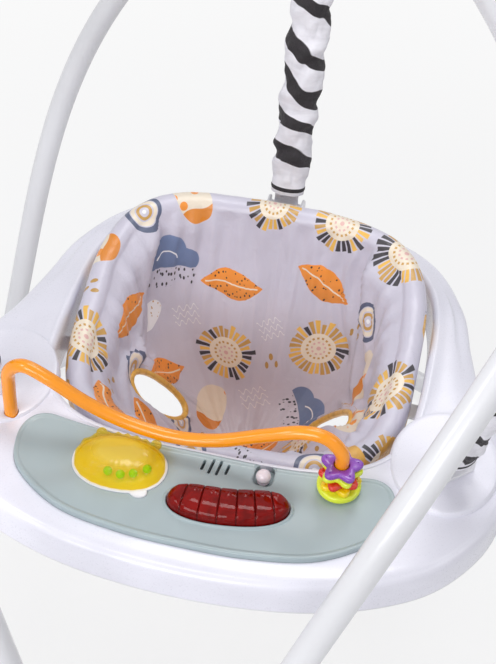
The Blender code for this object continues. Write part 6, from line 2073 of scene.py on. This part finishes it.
def buildStrap(label):
    bar, way, length, tangent, facing = strapFrame(label)
    t, high, foot = hanging["halfThickness"], hanging["length"], 0.012
    outer = hanging["barRadius"] + 2 * gap + 2 * t
    lean = atan2(t, sqrt(outer * outer - t * t))
    profile = []
    for k in range(37):
        a = pi / 2 + lean + (2 * pi - 2 * lean) * k / 36
        profile.append((outer * cos(a), outer * sin(a)))
    profile += [(t, foot + (high - foot) * k / 24) for k in range(25)]
    profile += [(-t, high - (high - foot) * k / 24) for k in range(25)]
    rings = []
    for side in (-1, -0.985, -0.94, -0.5, 0, 0.5, 0.94, 0.985, 1):
        thin = 0.62 if abs(side) == 1 else (0.9 if abs(side) > 0.95 else 1.0)
        ring = []
        for a, b in profile:
            # The web draws in only across its thickness, the loop round the bar both ways
            web = b > 0.011 or abs(a) <= t * 1.01
            flat, tall = (thin, 1.0) if web else (1 - (1 - thin) * 0.2, 1 - (1 - thin) * 0.2)
            ring.append(bar + facing * a * flat + way * b * tall + tangent * hanging["halfWidth"] * side)
        rings.append(ring)
    strap = newObject("webStrap" + label.title(), turnedMap(loft("strap", rings, cloth=True)))
    wide = tangent * (hanging["halfWidth"] + 0.01)
    eye = bar + way * (high - hanging["eyeDown"])
    combine(strap, [cut(cylinderBetween(bar - wide, bar + wide, hanging["barRadius"] + gap, 32)),
                    cut(cylinderBetween(eye - facing * 0.01, eye + facing * 0.01, hanging["eye"], 32))])
    place(strap, "tray", "white_webbing", "strap_" + label, angle=50)
    rows = []
    for side in (-1, 1):
        for height in (0.0115, 0.0135):
            rows.append([bar + way * height + facing * (t + 0.0001) * side + tangent * a
                         for a in (-0.0108, 0.0108)])
    for number, row in enumerate(rows):
        sew(f"strapStitches{label.title()}{number}", row, 0.0024, 0.0018, "white_webbing", "stitch")


def turnedMap(data):
    # Swaps a map's directions, so that "along" runs along the strap
    layer = data.uv_layers["cloth"].data
    flat = np.zeros(len(layer) * 2, np.float32)
    layer.foreach_get("uv", flat)
    layer.foreach_set("uv", flat.reshape(-1, 2)[:, ::-1].ravel())
    return data


def buildSpring(label):
    bar, way, length, tangent, facing = strapFrame(label)
    hook, play, wire = hanging["hook"], hanging["play"], hanging["wire"]
    low = hanging["length"] - hanging["eyeDown"] + hanging["eye"] - wire - play + hook
    high = length + stand["pinRadius"] + wire + play - hook
    lower, upper = [], []
    for k in range(25):
        a = radians(140 + 310 * k / 24)
        lower.append(facing * hook * cos(a) + way * (low + hook * sin(a)))
        upper.append(tangent * hook * cos(a) + way * (high - hook * sin(a)))
    first, last = low + hook + 0.006, high - hook - 0.006
    coil, turns, fine = [], hanging["curls"], 32
    for k in range(turns * fine + 1):
        a = 2 * pi * k / fine
        grow = min(1.0, (k / fine * 8 + 1) / 4, ((turns * fine - k) / fine * 8 + 1) / 4)
        spot = first + (last - first) * k / (turns * fine)
        across = facing * hanging["coil"] * grow * cos(a) + tangent * hanging["coil"] * grow * sin(a)
        coil.append(across + way * spot)
    path = [bar + p for p in lower + coil + upper[::-1]]
    spring = tubes.grow("springWire" + label.title(), path, Radius=wire, Sides=10,
                        Finish=finishes["spring_steel"])
    dress(spring, "spring_steel", 60)
    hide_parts("spring_" + label)
    bar + way * (length - 0.012)
    bar + way * (hanging["length"] - 0.002)
    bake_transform(spring)


def buildSleeve(label, seedNumber):
    bar, way, length, tangent, facing = strapFrame(label)
    start, cuff = sleeveCloth["start"], sleeveCloth["cuff"]
    wide, deep = sleeveCloth["halfWidth"], sleeveCloth["halfDepth"]
    end = length - stand["hubHalfHeight"] + stand["hangerDrop"] - 0.004
    steps, sides = 190, 84
    outer, inner = [], []
    pitch = (end - start) / sleeveCloth["gathers"]
    for k in range(steps + 1):
        s = start + (end - start) * k / steps
        run = s - start
        ends = cuff + (1 - cuff) * ease(run / (pitch * 1.25))
        free = ease((run - 0.0105) / 0.010) * ease((end - s) / 0.008)
        ring, lining = [], []
        for n, (a, b) in enumerate(superEllipse(wide * ends, deep * (ends * 1.3 - 0.3), 2, sides)):
            turn = 2 * pi * n / sides
            sway = ringNoise(turn, 0.9, run * 22 + seedNumber)
            ridge = sin(pi * (run / pitch + 0.34 * sin(turn + seedNumber + run * 14) + 0.55 * sway)) ** 2
            fine = ringNoise(turn, 3.2, run * 130 + seedNumber)
            puff = (ridge * 1.35 - 0.85) * sleeveCloth["gatherDepth"] * free + fine * 0.0011 * free
            puff += 0.0009 * ease(1 - abs(run - sleeveCloth["piping"]) / 0.0030)
            radial = (tangent * a + facing * b).normalized()
            point = bar + way * s + tangent * a + facing * b + radial * puff
            ring.append(point)
            lining.append(point - radial * sleeveCloth["wall"])
        outer.append(ring)
        inner.append(lining)
    data = loft("sleeve", outer + inner[::-1], loop=True, cloth=True)
    sleeve = newObject("gatheredSleeve" + label.title(), data)
    dress(sleeve, "striped_fabric", 80)
    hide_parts("sleeve_" + label)
    bar + way * (end - 0.010)
    bar + way * (start + 0.030)
    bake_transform(sleeve)
    return sleeve, 2 * pi * sqrt((wide ** 2 + deep ** 2) / 2), end - start


for number, label in enumerate(hubAngles):
    buildAnchor(label)
    buildStrap(label)
    buildSpring(label)
    sleeve, girth, reach = buildSleeve(label, number * 3.7)
    flat = (round(girth, 3), round(reach * sleeveCloth["fullness"], 3))
print("straps, springs and sleeves built")
bpy.data.objects.remove(screwModel)


# Floor, lamps and camera

backdropRays = ("Camera", "Glossy", "Transmission")
lamps = {"overhead": ((0.1, 0.30, 2.0), 1.0, 0.4, 9), "frontFill": ((-0.5, -2.4, 1.45), 1.6, 1.0, 32),
         "left": ((-1.3, -1.0, 1.7), 0.6, 0.6, 7), "right": ((1.5, -0.2, 1.5), 0.7, 0.7, 3),
         "rear": ((0.15, 1.6, 2.05), 0.6, 0.4, 4)}


def buildFloor():
    paint = Paint("paleFloor", Specular_IOR_Level=0.2)
    x, y, z = paint.split(paint.objectPlace())
    cloudy = paint.cloud(paint.objectPlace(), 1.5, 2, 0.5)
    paint.finish(paint.blend(paint.level(cloudy, 0.3, 0.7), (0.86, 0.86, 0.87, 1), (0.88, 0.88, 0.89, 1)),
                 0.7)
    # Far from the piece the floor turns into the white backdrop
    camera, glossy, clear = (paint.node("ShaderNodeLightPath", out=f"Is {ray} Ray") for ray in backdropRays)
    glow = paint.node("ShaderNodeEmission", None, {"Color": (1, 1, 1, 1), "Strength": 1.0})
    share = paint.level(paint.far(x, y), 0.5, 1.9, 0.70, 1.0) * (camera | glossy | clear)
    mix = paint.node("ShaderNodeMixShader", None, {0: share, 2: glow})
    paint.tree.links.new(paint.shader.outputs[0], mix.socket.node.inputs[1])
    paint.tree.links.new(mix.socket, paint.tree.nodes["Material Output"].inputs["Surface"])
    corners = [(-9, -9, 0), (9, -9, 0), (9, 9, 0), (-9, 9, 0)]
    floor = newObject("paleFloor", meshFrom("floor", corners, [(0, 1, 2, 3)]))
    floor.data.materials.append(paint.material)


def buildBackdrop():
    # White to the rays that look at it, softer as a light
    world = bpy.data.worlds.new("studioLight")
    bpy.context.scene.world = world
    world.use_nodes = True
    nodes, links = world.node_tree.nodes, world.node_tree.links
    back = nodes["Background"]
    back.inputs["Color"].default_value = (0.93, 0.94, 0.97, 1)
    back.inputs["Strength"].default_value = 0.38
    seen = nodes.new("ShaderNodeBackground")
    seen.inputs["Color"].default_value = (1, 1, 1, 1)
    path = nodes.new("ShaderNodeLightPath")
    pick = nodes.new("ShaderNodeMixShader")
    shown = path.outputs[f"Is {backdropRays[0]} Ray"]
    for ray in backdropRays[1:]:
        either = nodes.new("ShaderNodeMath")
        either.operation = "MAXIMUM"
        links.new(shown, either.inputs[0])
        links.new(path.outputs[f"Is {ray} Ray"], either.inputs[1])
        shown = either.outputs[0]
    links.new(shown, pick.inputs[0])
    links.new(back.outputs[0], pick.inputs[1])
    links.new(seen.outputs[0], pick.inputs[2])
    links.new(pick.outputs[0], nodes["World Output"].inputs["Surface"])


def buildLamps():
    for name, (spot, wide, tall, power) in lamps.items():
        lamp = bpy.data.lights.new(name, "AREA")
        lamp.shape = "RECTANGLE"
        lamp.size, lamp.size_y, lamp.energy = wide, tall, power
        made = newObject(name, lamp)
        made.location = spot
        made.rotation_euler = (trayOrigin - Vector(spot)).to_track_quat("-Z", "Y").to_euler()


view = {"azimuth": 10.04, "elevation": 46.0, "roll": 3.75, "distance": 1.5, "lens": 1500 * 36 / 664,
        "shift": (1.4 / 664, 3.0 / 664)}


def buildCamera():
    camera = newObject("photoCamera", bpy.data.cameras.new("photoCamera"))
    a, e = radians(view["azimuth"]), radians(view["elevation"])
    back = Vector((sin(a) * cos(e), -cos(a) * cos(e), sin(e)))
    camera.location = trayOrigin + back * view["distance"]
    camera.rotation_mode = "QUATERNION"
    roll = Quaternion((0, 0, 1), radians(view["roll"]))
    camera.rotation_quaternion = (-back).to_track_quat("-Z", "Y") @ roll
    camera.data.lens, camera.data.sensor_width = view["lens"], 36
    camera.data.shift_x, camera.data.shift_y = view["shift"]
    camera.data.clip_start, camera.data.clip_end = 0.05, 30
    bpy.context.scene.camera = camera


buildFloor()
buildBackdrop()
buildLamps()
buildCamera()
bpy.context.scene.view_settings.view_transform = "Standard"
print("stage and camera set")
